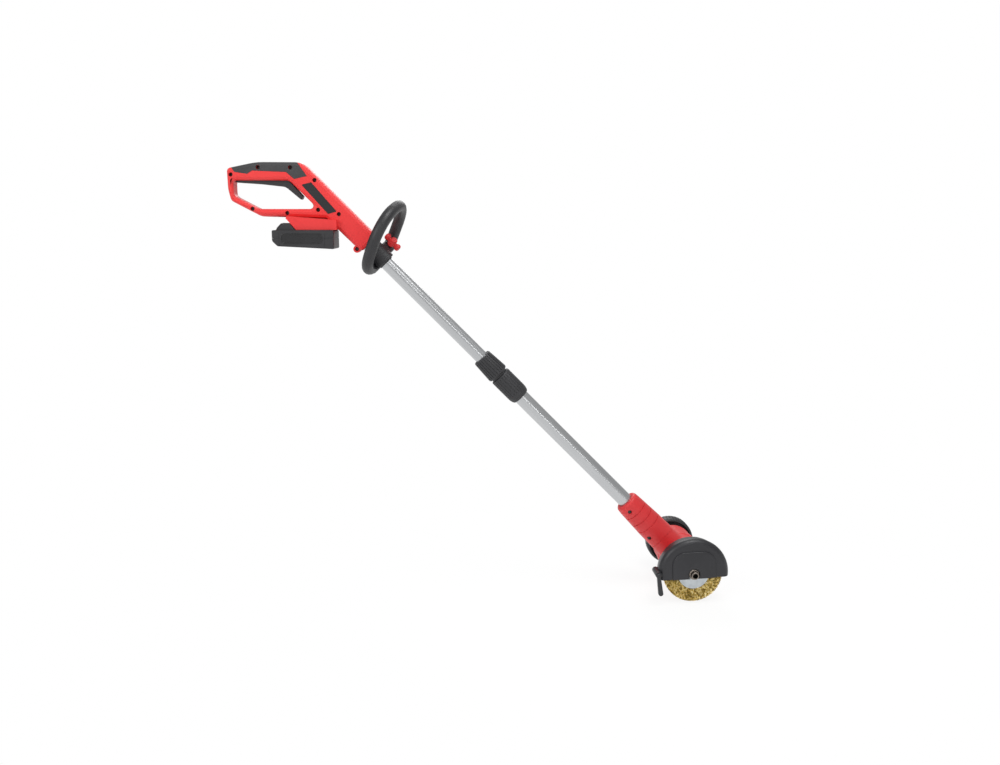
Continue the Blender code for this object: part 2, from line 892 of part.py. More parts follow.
def pack_room(name):
    """The hollow that the cells lie in, with a wall left behind the rear chamfer."""
    reach = CELLS * CELL_PITCH + 0.001
    middle = (PACK_REAR + PACK_FRONT) / 2
    rear, front = middle - reach / 2, middle + reach / 2
    low, high = PACK_UNDER + PACK_WALL, FOOT_UNDER - CLEAR - PACK_WALL
    corner = PACK_REAR + PACK_UNDER + PACK_CORNER + 0.0016
    profile = [
        Vector((rear, high)),
        Vector((rear, corner - rear)),
        Vector((corner - low, low)),
        Vector((front, low)),
        Vector((front, high)),
    ]
    return plate(name, [profile], CELL_LENGTH + 0.002, parent=BATTERY, cutter=True)


def make_battery_bottom(material):
    made = pack_block("battery_case_bottom")
    upper = box(
        "case_upper_half", (-0.2, -0.1, pack_split() - CLEAR / 2), (0.2, 0.1, 0.1), parent=BATTERY, cutter=True
    )
    return set_look(cut(made, pack_room("case_bottom_room"), upper), material)


def make_battery_top(material):
    made = pack_block("battery_case_top")
    low = FOOT_UNDER - CLEAR - 0.002
    rail_top = FOOT_UNDER + RAIL_HEIGHT
    front = FOOT_FRONT - FOOT_WALL - 0.0105 - CLEAR
    neck = box(
        "rail_neck",
        (FOOT_REAR - 0.010, -RAIL_NECK_WIDTH / 2, low),
        (front, RAIL_NECK_WIDTH / 2, rail_top - 0.001),
        parent=BATTERY,
        cutter=True,
    )
    flange = box(
        "rail_flange",
        (FOOT_REAR - 0.0035, -RAIL_WIDTH / 2, FOOT_UNDER + LIP + CLEAR),
        (front, RAIL_WIDTH / 2, rail_top),
        parent=BATTERY,
        cutter=True,
    )
    slots = []
    for index in (-1, 0, 1):
        y = index * 0.012
        slots.append(
            box(
                "terminal_slot_%d" % (index + 2),
                (front - 0.018, y - 0.0012, FOOT_UNDER + LIP + 0.0005),
                (front + 0.002, y + 0.0012, rail_top + 0.001),
                parent=BATTERY,
                cutter=True,
            )
        )
    lower = box(
        "case_lower_half", (-0.2, -0.1, -0.2), (0.2, 0.1, pack_split() + CLEAR / 2), parent=BATTERY, cutter=True
    )
    seat = box(
        "latch_seat",
        (PACK_REAR - 0.002, -0.0153, FOOT_UNDER - 0.0052),
        (PACK_REAR + 0.0165, 0.0153, FOOT_UNDER + 0.012),
        parent=BATTERY,
        cutter=True,
    )
    join(made, pack_hump("pack_hump"), neck, flange)
    cut(made, *slots, pack_room("case_top_room"), lower, seat)
    return set_look(made, material)


def make_latch(material):
    """The sprung button in the rear face of the pack."""
    made = plate(
        "battery_latch",
        [
            round_corners(
                [
                    (-0.0050, -0.0040, 0.0012),
                    (0.0045, -0.0040, 0.0005),
                    (0.0045, 0.0085, 0.0010),
                    (0.0020, 0.0085, 0.0010),
                    (-0.0050, 0.0012, 0.0015),
                ],
                2,
            )
        ],
        0.030,
        edge=0.0006,
        parent=LATCH,
    )
    return set_look(made, material)


def make_cells(material):
    """Five cells side by side, wrapped as one block."""
    middle = (PACK_REAR + PACK_FRONT) / 2
    height = PACK_UNDER + PACK_WALL + CLEAR + CELL_R
    half = CELL_LENGTH / 2
    first = middle - (CELLS - 1) / 2 * CELL_PITCH
    block = rods_along_y("cell_pack", [(first, height, CELL_R, -half, half)], 14, parent=BATTERY)
    for index in range(1, CELLS):
        cell = rods_along_y(
            "cell_%d" % index,
            [(first + index * CELL_PITCH, height, CELL_R, -half, half)],
            14,
            parent=BATTERY,
            cutter=True,
        )
        join(block, cell)
    strap = box(
        "cell_strap",
        (first, -half + 0.004, height - 0.003),
        (first + (CELLS - 1) * CELL_PITCH, half - 0.004, height + 0.003),
        parent=BATTERY,
        cutter=True,
    )
    return set_look(join(block, strap), material)


# Bail handle


def bail_path():
    """The loop's centre line, in the pole frame turned to the loop."""
    outline = round_corners(
        [
            (-BAIL_LOW_WIDTH, -BAIL_DROP, BAIL_BEND),
            (BAIL_LOW_WIDTH, -BAIL_DROP, BAIL_BEND),
            (BAIL_HALF_WIDTH, BAIL_RISE, BAIL_BEND),
            (-BAIL_HALF_WIDTH, BAIL_RISE, BAIL_BEND),
        ],
        5,
    )
    return [
        (height * math.cos(BAIL_LEAN), across, height * math.sin(BAIL_LEAN) - BAIL_AT)
        for across, height in outline
    ]


def clamp_bolt_y():
    return UPPER_R + SLEEVE_WALL + 2 * CLEAR + CLAMP_BOLT_R + 0.0045


def make_bail_loop(material):
    """The loop and its clamp collar, moulded as one piece."""
    low = -CLAMP_TOP_AT - CLAMP_LENGTH
    loop = bar_along("bail_loop", bail_path(), BAIL_TUBE_R, resolution=2, cyclic=True, parent=BAIL)
    collar = turned(
        "clamp_collar",
        [
            (0, -CLAMP_TOP_AT),
            (UPPER_R + CLAMP_WALL, -CLAMP_TOP_AT),
            (UPPER_R + CLAMP_WALL, low),
            (0, low),
        ],
        20,
        parent=BAIL,
        cutter=True,
    )
    outer = clamp_bolt_y() + CLAMP_BOLT_R + 0.0045
    middle = -CLAMP_TOP_AT - CLAMP_LENGTH / 2 - 0.002
    ear = box(
        "clamp_ear",
        (-0.0150, 0.004, middle - 0.010),
        (0.0150, outer, middle + 0.010),
        parent=BAIL,
        cutter=True,
    )
    round_edges(ear, 0.003, 2)
    boss = turned(
        "clamp_boss",
        [(0, -0.0100), (0.0090, -0.0100), (0.0090, BOLT_SEAT - 0.0055), (0, BOLT_SEAT - 0.0055)],
        14,
        parent=BAIL,
        location=(0, clamp_bolt_y(), middle),
        rotation=(0, math.pi / 2, 0),
        cutter=True,
    )
    pocket = turned(
        "clamp_pocket",
        [(0, BOLT_SEAT), (0.0062, BOLT_SEAT), (0.0062, BOLT_SEAT - 0.02), (0, BOLT_SEAT - 0.02)],
        12,
        parent=BAIL,
        location=(0, clamp_bolt_y(), middle),
        rotation=(0, math.pi / 2, 0),
        cutter=True,
    )
    web = box(
        "clamp_web",
        (-UPPER_R - 0.010, -0.030, low + 0.010),
        (-UPPER_R + 0.004, 0.030, -BAIL_AT - 0.001),
        parent=BAIL,
        cutter=True,
    )
    round_edges(web, 0.003, 2)
    chin = box(
        "clamp_chin",
        (-UPPER_R - 0.0175, -0.0125, low),
        (-UPPER_R + 0.004, 0.0065, low + 0.015),
        parent=BAIL,
        cutter=True,
    )
    round_edges(chin, 0.005, 2)
    bore = turned(
        "clamp_bore",
        [
            (0, 0.05),
            (UPPER_R + 2 * CLEAR + SLEEVE_WALL, 0.05),
            (UPPER_R + 2 * CLEAR + SLEEVE_WALL, -0.08),
            (0, -0.08),
        ],
        18,
        parent=BAIL,
        cutter=True,
    )
    slit = box(
        "clamp_slit",
        (-0.0012, UPPER_R - 0.003, low - 0.01),
        (0.0012, outer + 0.006, 0.0),
        parent=BAIL,
        cutter=True,
    )
    bolt_hole = turned(
        "clamp_bolt_hole",
        [(0, 0.05), (CLAMP_BOLT_R + CLEAR, 0.05), (CLAMP_BOLT_R + CLEAR, -0.05), (0, -0.05)],
        12,
        parent=BAIL,
        location=(0, clamp_bolt_y(), middle),
        rotation=(0, math.pi / 2, 0),
        cutter=True,
    )
    join(loop, collar, ear, web, chin, boss)
    cut(loop, bore, slit, bolt_hole, pocket)
    return set_look(loop, material)


def make_bail_sleeve(material):
    """The thin bush between the tube and the clamp."""
    low = -CLAMP_TOP_AT - CLAMP_LENGTH
    outer = UPPER_R + CLEAR + SLEEVE_WALL
    inner = UPPER_R + CLEAR
    return tube("bail_sleeve", outer, inner, -CLAMP_TOP_AT + 0.0015, low - 0.0015, 18, POLE, material)


def make_bail_bolt(material):
    """The hexagon bolt that closes the clamp, its head below the ear."""
    head = BOLT_SEAT - CLEAR
    made = turned(
        "bail_bolt",
        [
            (0, 0.0300),
            (CLAMP_BOLT_R * 0.8, 0.0300),
            (CLAMP_BOLT_R, 0.0290),
            (CLAMP_BOLT_R, head),
            (0.0055, head),
            (0.0055, head - 0.0045),
            (0, head - 0.0045),
        ],
        12,
        parent=BAIL,
        location=(0, clamp_bolt_y(), -CLAMP_TOP_AT - CLAMP_LENGTH / 2 - 0.002),
        rotation=(0, math.pi / 2, 0),
    )
    return set_look(made, material, smooth=False)


def make_bail_knob(material):
    """The wing knob on the bolt's free end."""
    hub = turned(
        "bail_knob",
        [
            (0, 0.0175),
            (KNOB_R * 0.75, 0.0175),
            (KNOB_R, 0.0150),
            (KNOB_R, 0.0),
            (0, 0.0),
        ],
        16,
        parent=KNOB,
    )
    wings = plate(
        "knob_wings",
        [
            round_corners(
                [
                    (-0.0185, 0.0030, 0.003),
                    (0.0185, 0.0030, 0.003),
                    (0.0175, 0.0190, 0.005),
                    (0.0060, 0.0140, 0.003),
                    (-0.0060, 0.0140, 0.003),
                    (-0.0175, 0.0190, 0.005),
                ],
                3,
            )
        ],
        0.0070,
        edge=0.0015,
        parent=KNOB,
        rotation=(math.pi / 2, 0, 0),
        cutter=True,
    )
    bore = turned(
        "knob_bore",
        [
            (0, 0.0160),
            (CLAMP_BOLT_R + CLEAR, 0.0160),
            (CLAMP_BOLT_R + CLEAR, -0.01),
            (0, -0.01),
        ],
        12,
        parent=KNOB,
        cutter=True,
    )
    return set_look(cut(join(hub, wings), bore), material)


# Pole


def tube(name, outer, inner, top, bottom, sides, parent, material):
    made = turned(
        name,
        [(outer, top), (outer, bottom), (inner, bottom), (inner, top)],
        sides,
        closed=True,
        parent=parent,
    )
    return set_look(made, material)


def make_upper_tube(material):
    bottom = -UPPER_EXPOSED - UPPER_OVERLAP
    inner = UPPER_R - TUBE_WALL
    return tube("upper_tube", UPPER_R, inner, UPPER_IN_HANDLE, bottom, 20, POLE, material)


def make_lower_tube(material):
    top = -NUT_LENGTH - 0.0040
    bottom = -NUT_LENGTH - COLLAR_LENGTH - LOWER_EXPOSED - LOWER_IN_HEAD
    made = tube("lower_tube", LOWER_R, LOWER_R - TUBE_WALL, top, bottom, 20, LOWER, material)
    x, z = neck_screw_places()[0]
    hole = rods_along_y(
        "tube_screw_hole", [(x, z, SCREW_R + 2 * CLEAR, -0.03, 0.03)], 12, parent=HEAD, cutter=True
    )
    return cut(made, hole)


def make_twist_nut(material):
    """The ribbed cone that tightens the collet."""
    grip = turned(
        "twist_nut",
        [
            (UPPER_R + CLEAR, 0),
            (NUT_TOP_R - 0.0010, 0),
            (NUT_TOP_R, -0.0015),
            (NUT_LOW_R, -NUT_LENGTH + 0.0040),
            (NUT_LOW_R, -NUT_LENGTH),
            (SPIGOT_R + CLEAR, -NUT_LENGTH),
            (SPIGOT_R + CLEAR, -NUT_LENGTH + SPIGOT_LENGTH + 0.001),
            (UPPER_R + 0.0030, -0.0060),
            (UPPER_R + CLEAR, -0.0040),
        ],
        20,
        closed=True,
        parent=NUT,
    )
    made = bmesh.new()
    ribs = 10
    for index in range(ribs):
        angle = 2 * math.pi * index / ribs
        rib = bmesh.ops.create_cube(made, size=1.0)["verts"]
        for vertex in rib:
            along = vertex.co.z + 0.5
            radius = NUT_TOP_R + (NUT_LOW_R - NUT_TOP_R) * (1 - along)
            reach = radius - 0.0012 if vertex.co.x < 0 else radius + 0.0006
            side = vertex.co.y * 0.0026
            height = -NUT_LENGTH + 0.0050 + along * (NUT_LENGTH - 0.0110)
            vertex.co = Vector(
                (
                    reach * math.cos(angle) - side * math.sin(angle),
                    reach * math.sin(angle) + side * math.cos(angle),
                    height,
                )
            )
    bars = add_object("nut_ribs", bmesh_to_mesh("nut_ribs", made), parent=NUT, cutter=True)
    return set_look(join(grip, bars), material)


def make_pole_collar(material):
    """The collar on the lower tube, with the threaded spigot that the nut turns on."""
    step = -NUT_LENGTH - CLEAR
    low = step - COLLAR_LENGTH
    seat = LOWER_R + CLEAR
    profile = [
        (SPIGOT_R, step + SPIGOT_LENGTH),
        (SPIGOT_R, step),
        (COLLAR_R - 0.0008, step),
        (COLLAR_R, step - 0.0010),
    ]
    for index in range(3):
        height = step - 0.0090 - index * 0.0110
        profile += [
            (COLLAR_R, height),
            (COLLAR_R - 0.0009, height - 0.0012),
            (COLLAR_R, height - 0.0024),
        ]
    profile += [
        (COLLAR_R - 0.0003, low + 0.0080),
        (COLLAR_R - 0.0022, low + 0.0020),
        (LOWER_R + 0.0016, low),
        (seat, low),
        (seat, step - 0.0040 + 2 * CLEAR),
        (UPPER_R + 2 * CLEAR, step - 0.0040 + 2 * CLEAR),
        (UPPER_R + 2 * CLEAR, step + SPIGOT_LENGTH),
    ]
    return set_look(turned("pole_collar", profile, 16, closed=True, parent=LOWER), material)


def make_collet(material):
    """The split sleeve that the nut squeezes on the upper tube."""
    top = -0.0080
    low = -NUT_LENGTH + SPIGOT_LENGTH + 0.0010
    made = turned(
        "collet",
        [
            (UPPER_R + 0.0018, top),
            (UPPER_R + 0.0026, low),
            (UPPER_R + CLEAR, low),
            (UPPER_R + CLEAR, top),
        ],
        16,
        closed=True,
        parent=LOWER,
    )
    for index in range(2):
        slit = box(
            "collet_slit_%d" % (index + 1),
            (-0.03, -0.0005, low + 0.004),
            (0.03, 0.0005, 0.0),
            parent=LOWER,
            rotation=(0, 0, index * math.pi / 2),
            cutter=True,
        )
        cut(made, slit)
    return set_look(made, material)


def make_power_lead(material):
    """The lead from the switch to the motor, down the middle of both tubes."""
    top = UPPER_IN_HANDLE + 0.003
    reach = head_distance() - MOTOR_R - CLEAR
    count = 12
    points = [(0, 0, top - (top + reach) * index / count) for index in range(count + 1)]
    return set_look(bar_along("power_lead", points, LEAD_R, resolution=1, parent=POLE), material)


def head_distance():
    """From the neck end down the pole to the spindle axis."""
    return UPPER_EXPOSED + NUT_LENGTH + COLLAR_LENGTH + LOWER_EXPOSED + NECK_LENGTH


# Head


def up_pole(along, out):
    """A point in XZ from the spindle axis, up the pole and out towards its front."""
    x = -along * math.cos(TILT) + out * math.sin(TILT)
    z = along * math.sin(TILT) + out * math.cos(TILT)
    return x, z


def neck_screw_places():
    return [up_pole(NECK_LENGTH - 0.013, -0.0070), up_pole(0.0690, -0.0155)]


def make_head_shell(name, side, material):
    """One half of the head. Side is -1 for the brush end and 1 for the wheel end."""
    near = BARREL_NEAR if side < 0 else -BARREL_STEP
    far = -BARREL_FAR
    edge = 0.003
    barrel = turned(
        name,
        [
            (0, BARREL_NEAR),
            (BARREL_R - edge, BARREL_NEAR),
            (BARREL_R - edge * 0.3, BARREL_NEAR - edge * 0.3),
            (BARREL_R, BARREL_NEAR - edge),
            (BARREL_R, -BARREL_STEP),
            (BARREL_FAR_R, -BARREL_STEP - 0.0010),
            (BARREL_FAR_R, far + edge),
            (BARREL_FAR_R - edge * 0.3, far + edge * 0.3),
            (BARREL_FAR_R - edge, far),
            (0, far),
        ],
        24,
        parent=SPINDLE,
    )
    neck = turned(
        name + "_neck",
        neck_profile(),
        18,
        parent=NECK,
        cutter=True,
    )
    nose = turned(
        name + "_nose",
        [
            (0, BARREL_NEAR + NOSE_LENGTH),
            (NOSE_R, BARREL_NEAR + NOSE_LENGTH),
            (NOSE_R, BARREL_NEAR - 0.002),
            (0, BARREL_NEAR - 0.002),
        ],
        18,
        parent=SPINDLE,
        cutter=True,
    )
    hollow = turned(
        name + "_hollow",
        [
            (0, GEAR_AT + 0.0250),
            (BARREL_R - BARREL_WALL, GEAR_AT + 0.0250),
            (BARREL_R - BARREL_WALL, -MOTOR_FAR + 0.010),
            (MOTOR_R + CLEAR, -MOTOR_FAR + 0.010),
            (MOTOR_R + CLEAR, -MOTOR_FAR - 0.003),
            (0, -MOTOR_FAR - 0.003),
        ],
        18,
        parent=SPINDLE,
        cutter=True,
    )
    spindle_way = turned(
        name + "_spindle_way",
        [
            (0, BARREL_NEAR + NOSE_LENGTH + 0.01),
            (SPINDLE_R + 0.001, BARREL_NEAR + NOSE_LENGTH + 0.01),
            (SPINDLE_R + 0.001, BARREL_NEAR),
            (BEARING_R + CLEAR, BARREL_NEAR),
            (BEARING_R + CLEAR, GEAR_AT + 0.020),
            (0, GEAR_AT + 0.020),
        ],
        14,
        parent=SPINDLE,
        cutter=True,
    )
    axle_way = turned(
        name + "_axle_way",
        [
            (0, -MOTOR_FAR - 0.0045),
            (AXLE_R + CLEAR, -MOTOR_FAR - 0.0045),
            (AXLE_R + CLEAR, -BARREL_FAR - 0.01),
            (0, -BARREL_FAR - 0.01),
        ],
        12,
        parent=SPINDLE,
        cutter=True,
    )
    tube_way = turned(
        name + "_tube_way",
        [
            (0, NECK_LENGTH + 0.02),
            (LOWER_R + CLEAR, NECK_LENGTH + 0.02),
            (LOWER_R + CLEAR, NECK_LENGTH - LOWER_IN_HEAD - CLEAR),
            (LOWER_R - 0.002, NECK_LENGTH - LOWER_IN_HEAD - 0.001),
            (LOWER_R - 0.002, 0),
            (0, 0),
        ],
        16,
        parent=NECK,
        cutter=True,
    )
    reach = NECK_R + 0.01
    if side < 0:
        bores = screw_ways(name, neck_screw_places(), NECK_SCREW_SEAT, reach, HEAD)
    else:
        depth = NECK_SCREW_LENGTH - NECK_SCREW_SEAT + 0.001
        rods = [(x, z, SCREW_R + CLEAR, -0.002, depth) for x, z in neck_screw_places()]
        bores = [rods_along_y(name + "_bores", rods, 12, parent=HEAD, cutter=True)]
    half = box(
        name + "_half",
        (-0.3, min(-side * 0.1, side * CLEAR / 2), -0.3),
        (0.3, max(-side * 0.1, side * CLEAR / 2), 0.3),
        parent=HEAD,
        cutter=True,
    )
    join(barrel, neck)
    if side < 0:
        join(barrel, nose)
    cut(barrel, hollow, spindle_way if side < 0 else axle_way, tube_way, *bores, half)
    return set_look(barrel, material)


def neck_profile():
    """The neck's outside from the mouth to inside the barrel, with its three grooves."""
    profile = [
        (0, NECK_LENGTH),
        (MOUTH_R - 0.0045, NECK_LENGTH),
        (MOUTH_R - 0.0012, NECK_LENGTH - 0.0050),
        (MOUTH_R + 0.0006, NECK_LENGTH - 0.012),
    ]
    for index in range(3):
        height = NECK_LENGTH - 0.0240 - index * 0.0160
        radius = MOUTH_R + (NECK_R - MOUTH_R) * (NECK_LENGTH - height) / (NECK_LENGTH - 0.060)
        profile += [
            (radius, height + 0.0014),
            (radius - 0.0010, height),
            (radius + 0.0001, height - 0.0014),
        ]
    profile += [(NECK_R, 0.0600), (NECK_R + 0.0010, 0.0150), (0, 0.0150)]
    return profile


def make_neck_screws(material):
    for index, (x, z) in enumerate(neck_screw_places()):
        make_screw(
            "neck_screw_%d" % (index + 1), x, z, NECK_SCREW_LENGTH, NECK_SCREW_SEAT, material, HEAD
        )


def make_motor(material):
    """The motor can, with a boss at each end."""
    made = turned(
        "motor_can",
        [
            (0, MOTOR_NEAR + 0.0015),
            (0.0080, MOTOR_NEAR + 0.0015),
            (0.0080, MOTOR_NEAR),
            (MOTOR_R - 0.0015, MOTOR_NEAR),
            (MOTOR_R, MOTOR_NEAR - 0.0015),
            (MOTOR_R, -MOTOR_FAR + 0.0015),
            (MOTOR_R - 0.0015, -MOTOR_FAR),
            (0.0080, -MOTOR_FAR),
            (0.0080, -MOTOR_FAR - 0.0024),
            (0, -MOTOR_FAR - 0.0024),
        ],
        18,
        parent=SPINDLE,
    )
    way = turned(
        "motor_shaft_way",
        [(0, 0.05), (0.0025 + CLEAR, 0.05), (0.0025 + CLEAR, -0.0200), (0, -0.0200)],
        10,
        parent=SPINDLE,
        cutter=True,
    )
    return set_look(cut(made, way), material)


def involute(angle):
    return math.tan(angle) - angle


def gear_outline(teeth, tip, root, half_tooth):
    """Teeth of 20 degrees with straight flanks between their involute's ends."""
    pitch = teeth * MODULE / 2
    base = pitch * math.cos(math.radians(20))
    points = []
    for index in range(teeth):
        middle = 2 * math.pi * index / teeth
        flank = []
        for radius in (root, tip):
            pressure = math.acos(min(1.0, base / radius))
            flank.append((radius, half_tooth + involute(math.radians(20)) - involute(pressure)))
        for radius, half in flank:
            points.append(Vector((radius * math.cos(middle - half), radius * math.sin(middle - half))))
        for radius, half in reversed(flank):
            points.append(Vector((radius * math.cos(middle + half), radius * math.sin(middle + half))))
    return points


def outer_gear(name, teeth, turn, parent, **place):
    pitch = teeth * MODULE / 2
    half = math.pi / (2 * teeth) - BACKLASH / (2 * pitch)
    points = gear_outline(teeth, pitch + 0.8 * MODULE, pitch - 1.1 * MODULE, half)
    place.setdefault("location", (0, 0, GEAR_AT + GEAR_THICK / 2))
    return plate(
        name, [points], GEAR_THICK, upright=False, parent=parent, rotation=(0, 0, turn), **place
    )


def planet_distance():
    return (SUN_TEETH + PLANET_TEETH) * MODULE / 2


def make_rotor(material):
    """The motor's shaft with the sun gear on its end."""
    sun = outer_gear("motor_shaft", SUN_TEETH, 0, ROTOR)
    shaft = turned(
        "motor_shaft_rod",
        [
            (0, GEAR_AT + GEAR_THICK - 0.001),
            (0.0025, GEAR_AT + GEAR_THICK - 0.001),
            (0.0025, -0.0190),
            (0, -0.0190),
        ],
        10,
        parent=ROTOR,
        cutter=True,
    )
    return set_look(join(sun, shaft), material)


def make_ring_gear(material):
    """The gear case: the fixed ring gear and the plate that the motor bolts to."""
    pitch = RING_TEETH * MODULE / 2
    half = math.pi / (2 * RING_TEETH) + BACKLASH / (2 * pitch)
    space = gear_outline(RING_TEETH, pitch + 1.1 * MODULE, pitch - 0.8 * MODULE, half)
    outer = BARREL_R - BARREL_WALL - CLEAR
    made = turned(
        "ring_gear",
        [
            (0, GEAR_AT + 0.0200),
            (outer, GEAR_AT + 0.0200),
            (outer, MOTOR_NEAR + CLEAR),
            (0, MOTOR_NEAR + CLEAR),
        ],
        18,
        parent=SPINDLE,
    )
    teeth = plate(
        "ring_spaces",
        [space],
        0.03,
        upright=False,
        parent=SPINDLE,
        location=(0, 0, GEAR_AT - CLEAR + 0.015),
        rotation=(0, 0, math.pi / RING_TEETH),
        cutter=True,
    )
    centre = turned(
        "ring_centre",
        [(0, 0.05), (0.0083, 0.05), (0.0083, 0.0), (0, 0.0)],
        16,
        parent=SPINDLE,
        cutter=True,
    )
    return set_look(cut(made, teeth, centre), material)


def make_planets(material):
    for index, parent in enumerate(PLANET_FRAMES):
        gear = outer_gear("planet_gear_%d" % (index + 1), PLANET_TEETH, math.pi / PLANET_TEETH, parent)
        bore = turned(
            "planet_bore_%d" % (index + 1),
            [(0, 0.05), (0.0025 + CLEAR, 0.05), (0.0025 + CLEAR, 0), (0, 0)],
            10,
            parent=parent,
            cutter=True,
        )
        set_look(cut(gear, bore), material)


def make_spindle(material):
    """The planet carrier with its three pins, and the shaft to the brush."""
    plate_low = GEAR_AT + GEAR_THICK + CLEAR
    end = BRUSH_AT + BRUSH_WIDTH / 2 + FLANGE_THICK + 0.0070
    made = turned(
        "carrier_spindle",
        [
            (0, end),
            (SPINDLE_R - 0.001, end),
            (SPINDLE_R - 0.001, BARREL_NEAR + NOSE_LENGTH + 0.0034),
            (SPINDLE_R, BARREL_NEAR + NOSE_LENGTH + 0.0034),
            (SPINDLE_R, plate_low + 0.0045),
            (0.0200, plate_low + 0.0045),
            (0.0200, plate_low),
            (0, plate_low),
        ],
        14,
        parent=BRUSH,
    )
    for index in range(PLANETS):
        angle = 2 * math.pi * index / PLANETS
        pin = turned(
            "planet_pin_%d" % (index + 1),
            [(0, plate_low + 0.002), (0.0025, plate_low + 0.002), (0.0025, GEAR_AT), (0, GEAR_AT)],
            10,
            parent=BRUSH,
            location=(planet_distance() * math.cos(angle), planet_distance() * math.sin(angle), 0),
            cutter=True,
        )
        join(made, pin)
    return set_look(made, material)


def ring_piece(name, outer, inner, low, high, sides, parent, material):
    made = turned(
        name,
        [(outer, high), (outer, low), (inner, low), (inner, high)],
        sides,
        closed=True,
        parent=parent,
    )
    return set_look(made, material)


def make_bearings(material):
    low = GEAR_AT + 0.0205
    high = BARREL_NEAR - 0.0004
    inner = SPINDLE_R + CLEAR
    ring_piece("bearing_inner", BEARING_R, inner, low, low + BEARING_THICK, 14, SPINDLE, material)
    ring_piece("bearing_outer", BEARING_R, inner, high - BEARING_THICK, high, 14, SPINDLE, material)


# Brush


def make_brush(material):
    """Wire strands standing on the ring that the flanges hold."""
    made = bmesh.new()
    half = BRUSH_WIDTH / 2
    rows = []
    for row in range(STRAND_ROWS + 1):
        height = -half + BRUSH_WIDTH * row / STRAND_ROWS
        ring = []
        for column in range(STRAND_COLUMNS):
            angle = 2 * math.pi * column / STRAND_COLUMNS
            ring.append(
                made.verts.new((BRUSH_CORE_R * math.cos(angle), BRUSH_CORE_R * math.sin(angle), height))
            )
        rows.append(ring)
    strands = []
    for row in range(STRAND_ROWS):
        for column in range(STRAND_COLUMNS):
            following = (column + 1) % STRAND_COLUMNS
            first, second = rows[row][column], rows[row][following]
            third, fourth = rows[row + 1][following], rows[row + 1][column]
            if (row + column) % 2:
                strands.append(made.faces.new((first, second, third)))
                made.faces.new((first, third, fourth))
            else:
                strands.append(made.faces.new((second, third, fourth)))
                made.faces.new((first, second, fourth))
    inner = []
    for ring in (rows[0], rows[-1]):
        count = len(ring) // 2
        bore = []
        for index in range(count):
            angle = 2 * math.pi * index / count
            bore.append(
                made.verts.new(
                    (BRUSH_BORE_R * math.cos(angle), BRUSH_BORE_R * math.sin(angle), ring[0].co.z)
                )
            )
        for index in range(count):
            following = (index + 1) % count
            outer_points = [ring[(index * 2 + step) % len(ring)] for step in range(3)]
            made.faces.new([*outer_points, bore[following], bore[index]])
        inner.append(bore)
    count = len(inner[0])
    for index in range(count):
        following = (index + 1) % count
        made.faces.new((inner[0][index], inner[0][following], inner[1][following], inner[1][index]))
    bmesh.ops.recalc_face_normals(made, faces=made.faces)
    for number, face in enumerate(strands):
        centre = face.calc_center_median()
        angle = math.atan2(centre.y, centre.x)
        reach = BRUSH_R - 0.0018 * ((number * 7) % 5) / 4
        spread = 0.0005 * math.sin(number * 2.4)
        tip = Vector((reach * math.cos(angle), reach * math.sin(angle), centre.z + spread))
        top = bmesh.ops.extrude_discrete_faces(made, faces=[face])["faces"][0]
        for vertex in top.verts:
            offset = vertex.co - centre
            vertex.co = tip + offset * STRAND_TAPER
    mesh = bmesh_to_mesh("wire_brush", made)
    obj = add_object("wire_brush", mesh, parent=BRUSH, location=(0, 0, BRUSH_AT))
    return set_look(obj, material, smooth=False)


def make_brush_flanges(material):
    near = BRUSH_AT + BRUSH_WIDTH / 2 + CLEAR
    far = BRUSH_AT - BRUSH_WIDTH / 2 - CLEAR
    thick = FLANGE_THICK
    ring_piece("brush_flange_outer", FLANGE_R, SPINDLE_R, near, near + thick, 22, BRUSH, material)
    ring_piece("brush_flange_inner", FLANGE_R, SPINDLE_R, far - thick, far, 22, BRUSH, material)


def make_hub(material):
    """The hub in the brush's bore."""
    half = BRUSH_WIDTH / 2 - CLEAR
    ring_piece(
        "brush_hub",
        BRUSH_BORE_R - 2 * CLEAR,
        SPINDLE_R - 0.001 + CLEAR,
        BRUSH_AT - half,
        BRUSH_AT + half,
        20,
        BRUSH,
        material,
    )


def make_brush_nut(material):
    """The socket nut that holds the brush on the spindle."""
    low = BRUSH_AT + BRUSH_WIDTH / 2 + 2 * CLEAR + FLANGE_THICK
    high = GUARD_FACE + 0.0060
    made = turned(
        "brush_nut",
        [
            (0.0040, high),
            (0.0058, high),
            (0.0064, high - 0.0008),
            (0.0064, low + 0.0045),
            (0.0088, low + 0.0040),
            (0.0090, low),
            (0.0030, low),
            (0.0030, high - 0.0045),
        ],
        14,
        closed=True,
        parent=BRUSH,
    )
    room = turned(
        "brush_nut_thread",
        [
            (0, low + 0.0077),
            (SPINDLE_R - 0.001 + CLEAR, low + 0.0077),
            (SPINDLE_R - 0.001 + CLEAR, low - 0.001),
            (0, low - 0.001),
        ],
        10,
        parent=BRUSH,
        cutter=True,
    )
    return set_look(cut(made, room), material)


# Guard


def guard_ear_place():
    return -GUARD_R - 0.0010, 0.0045


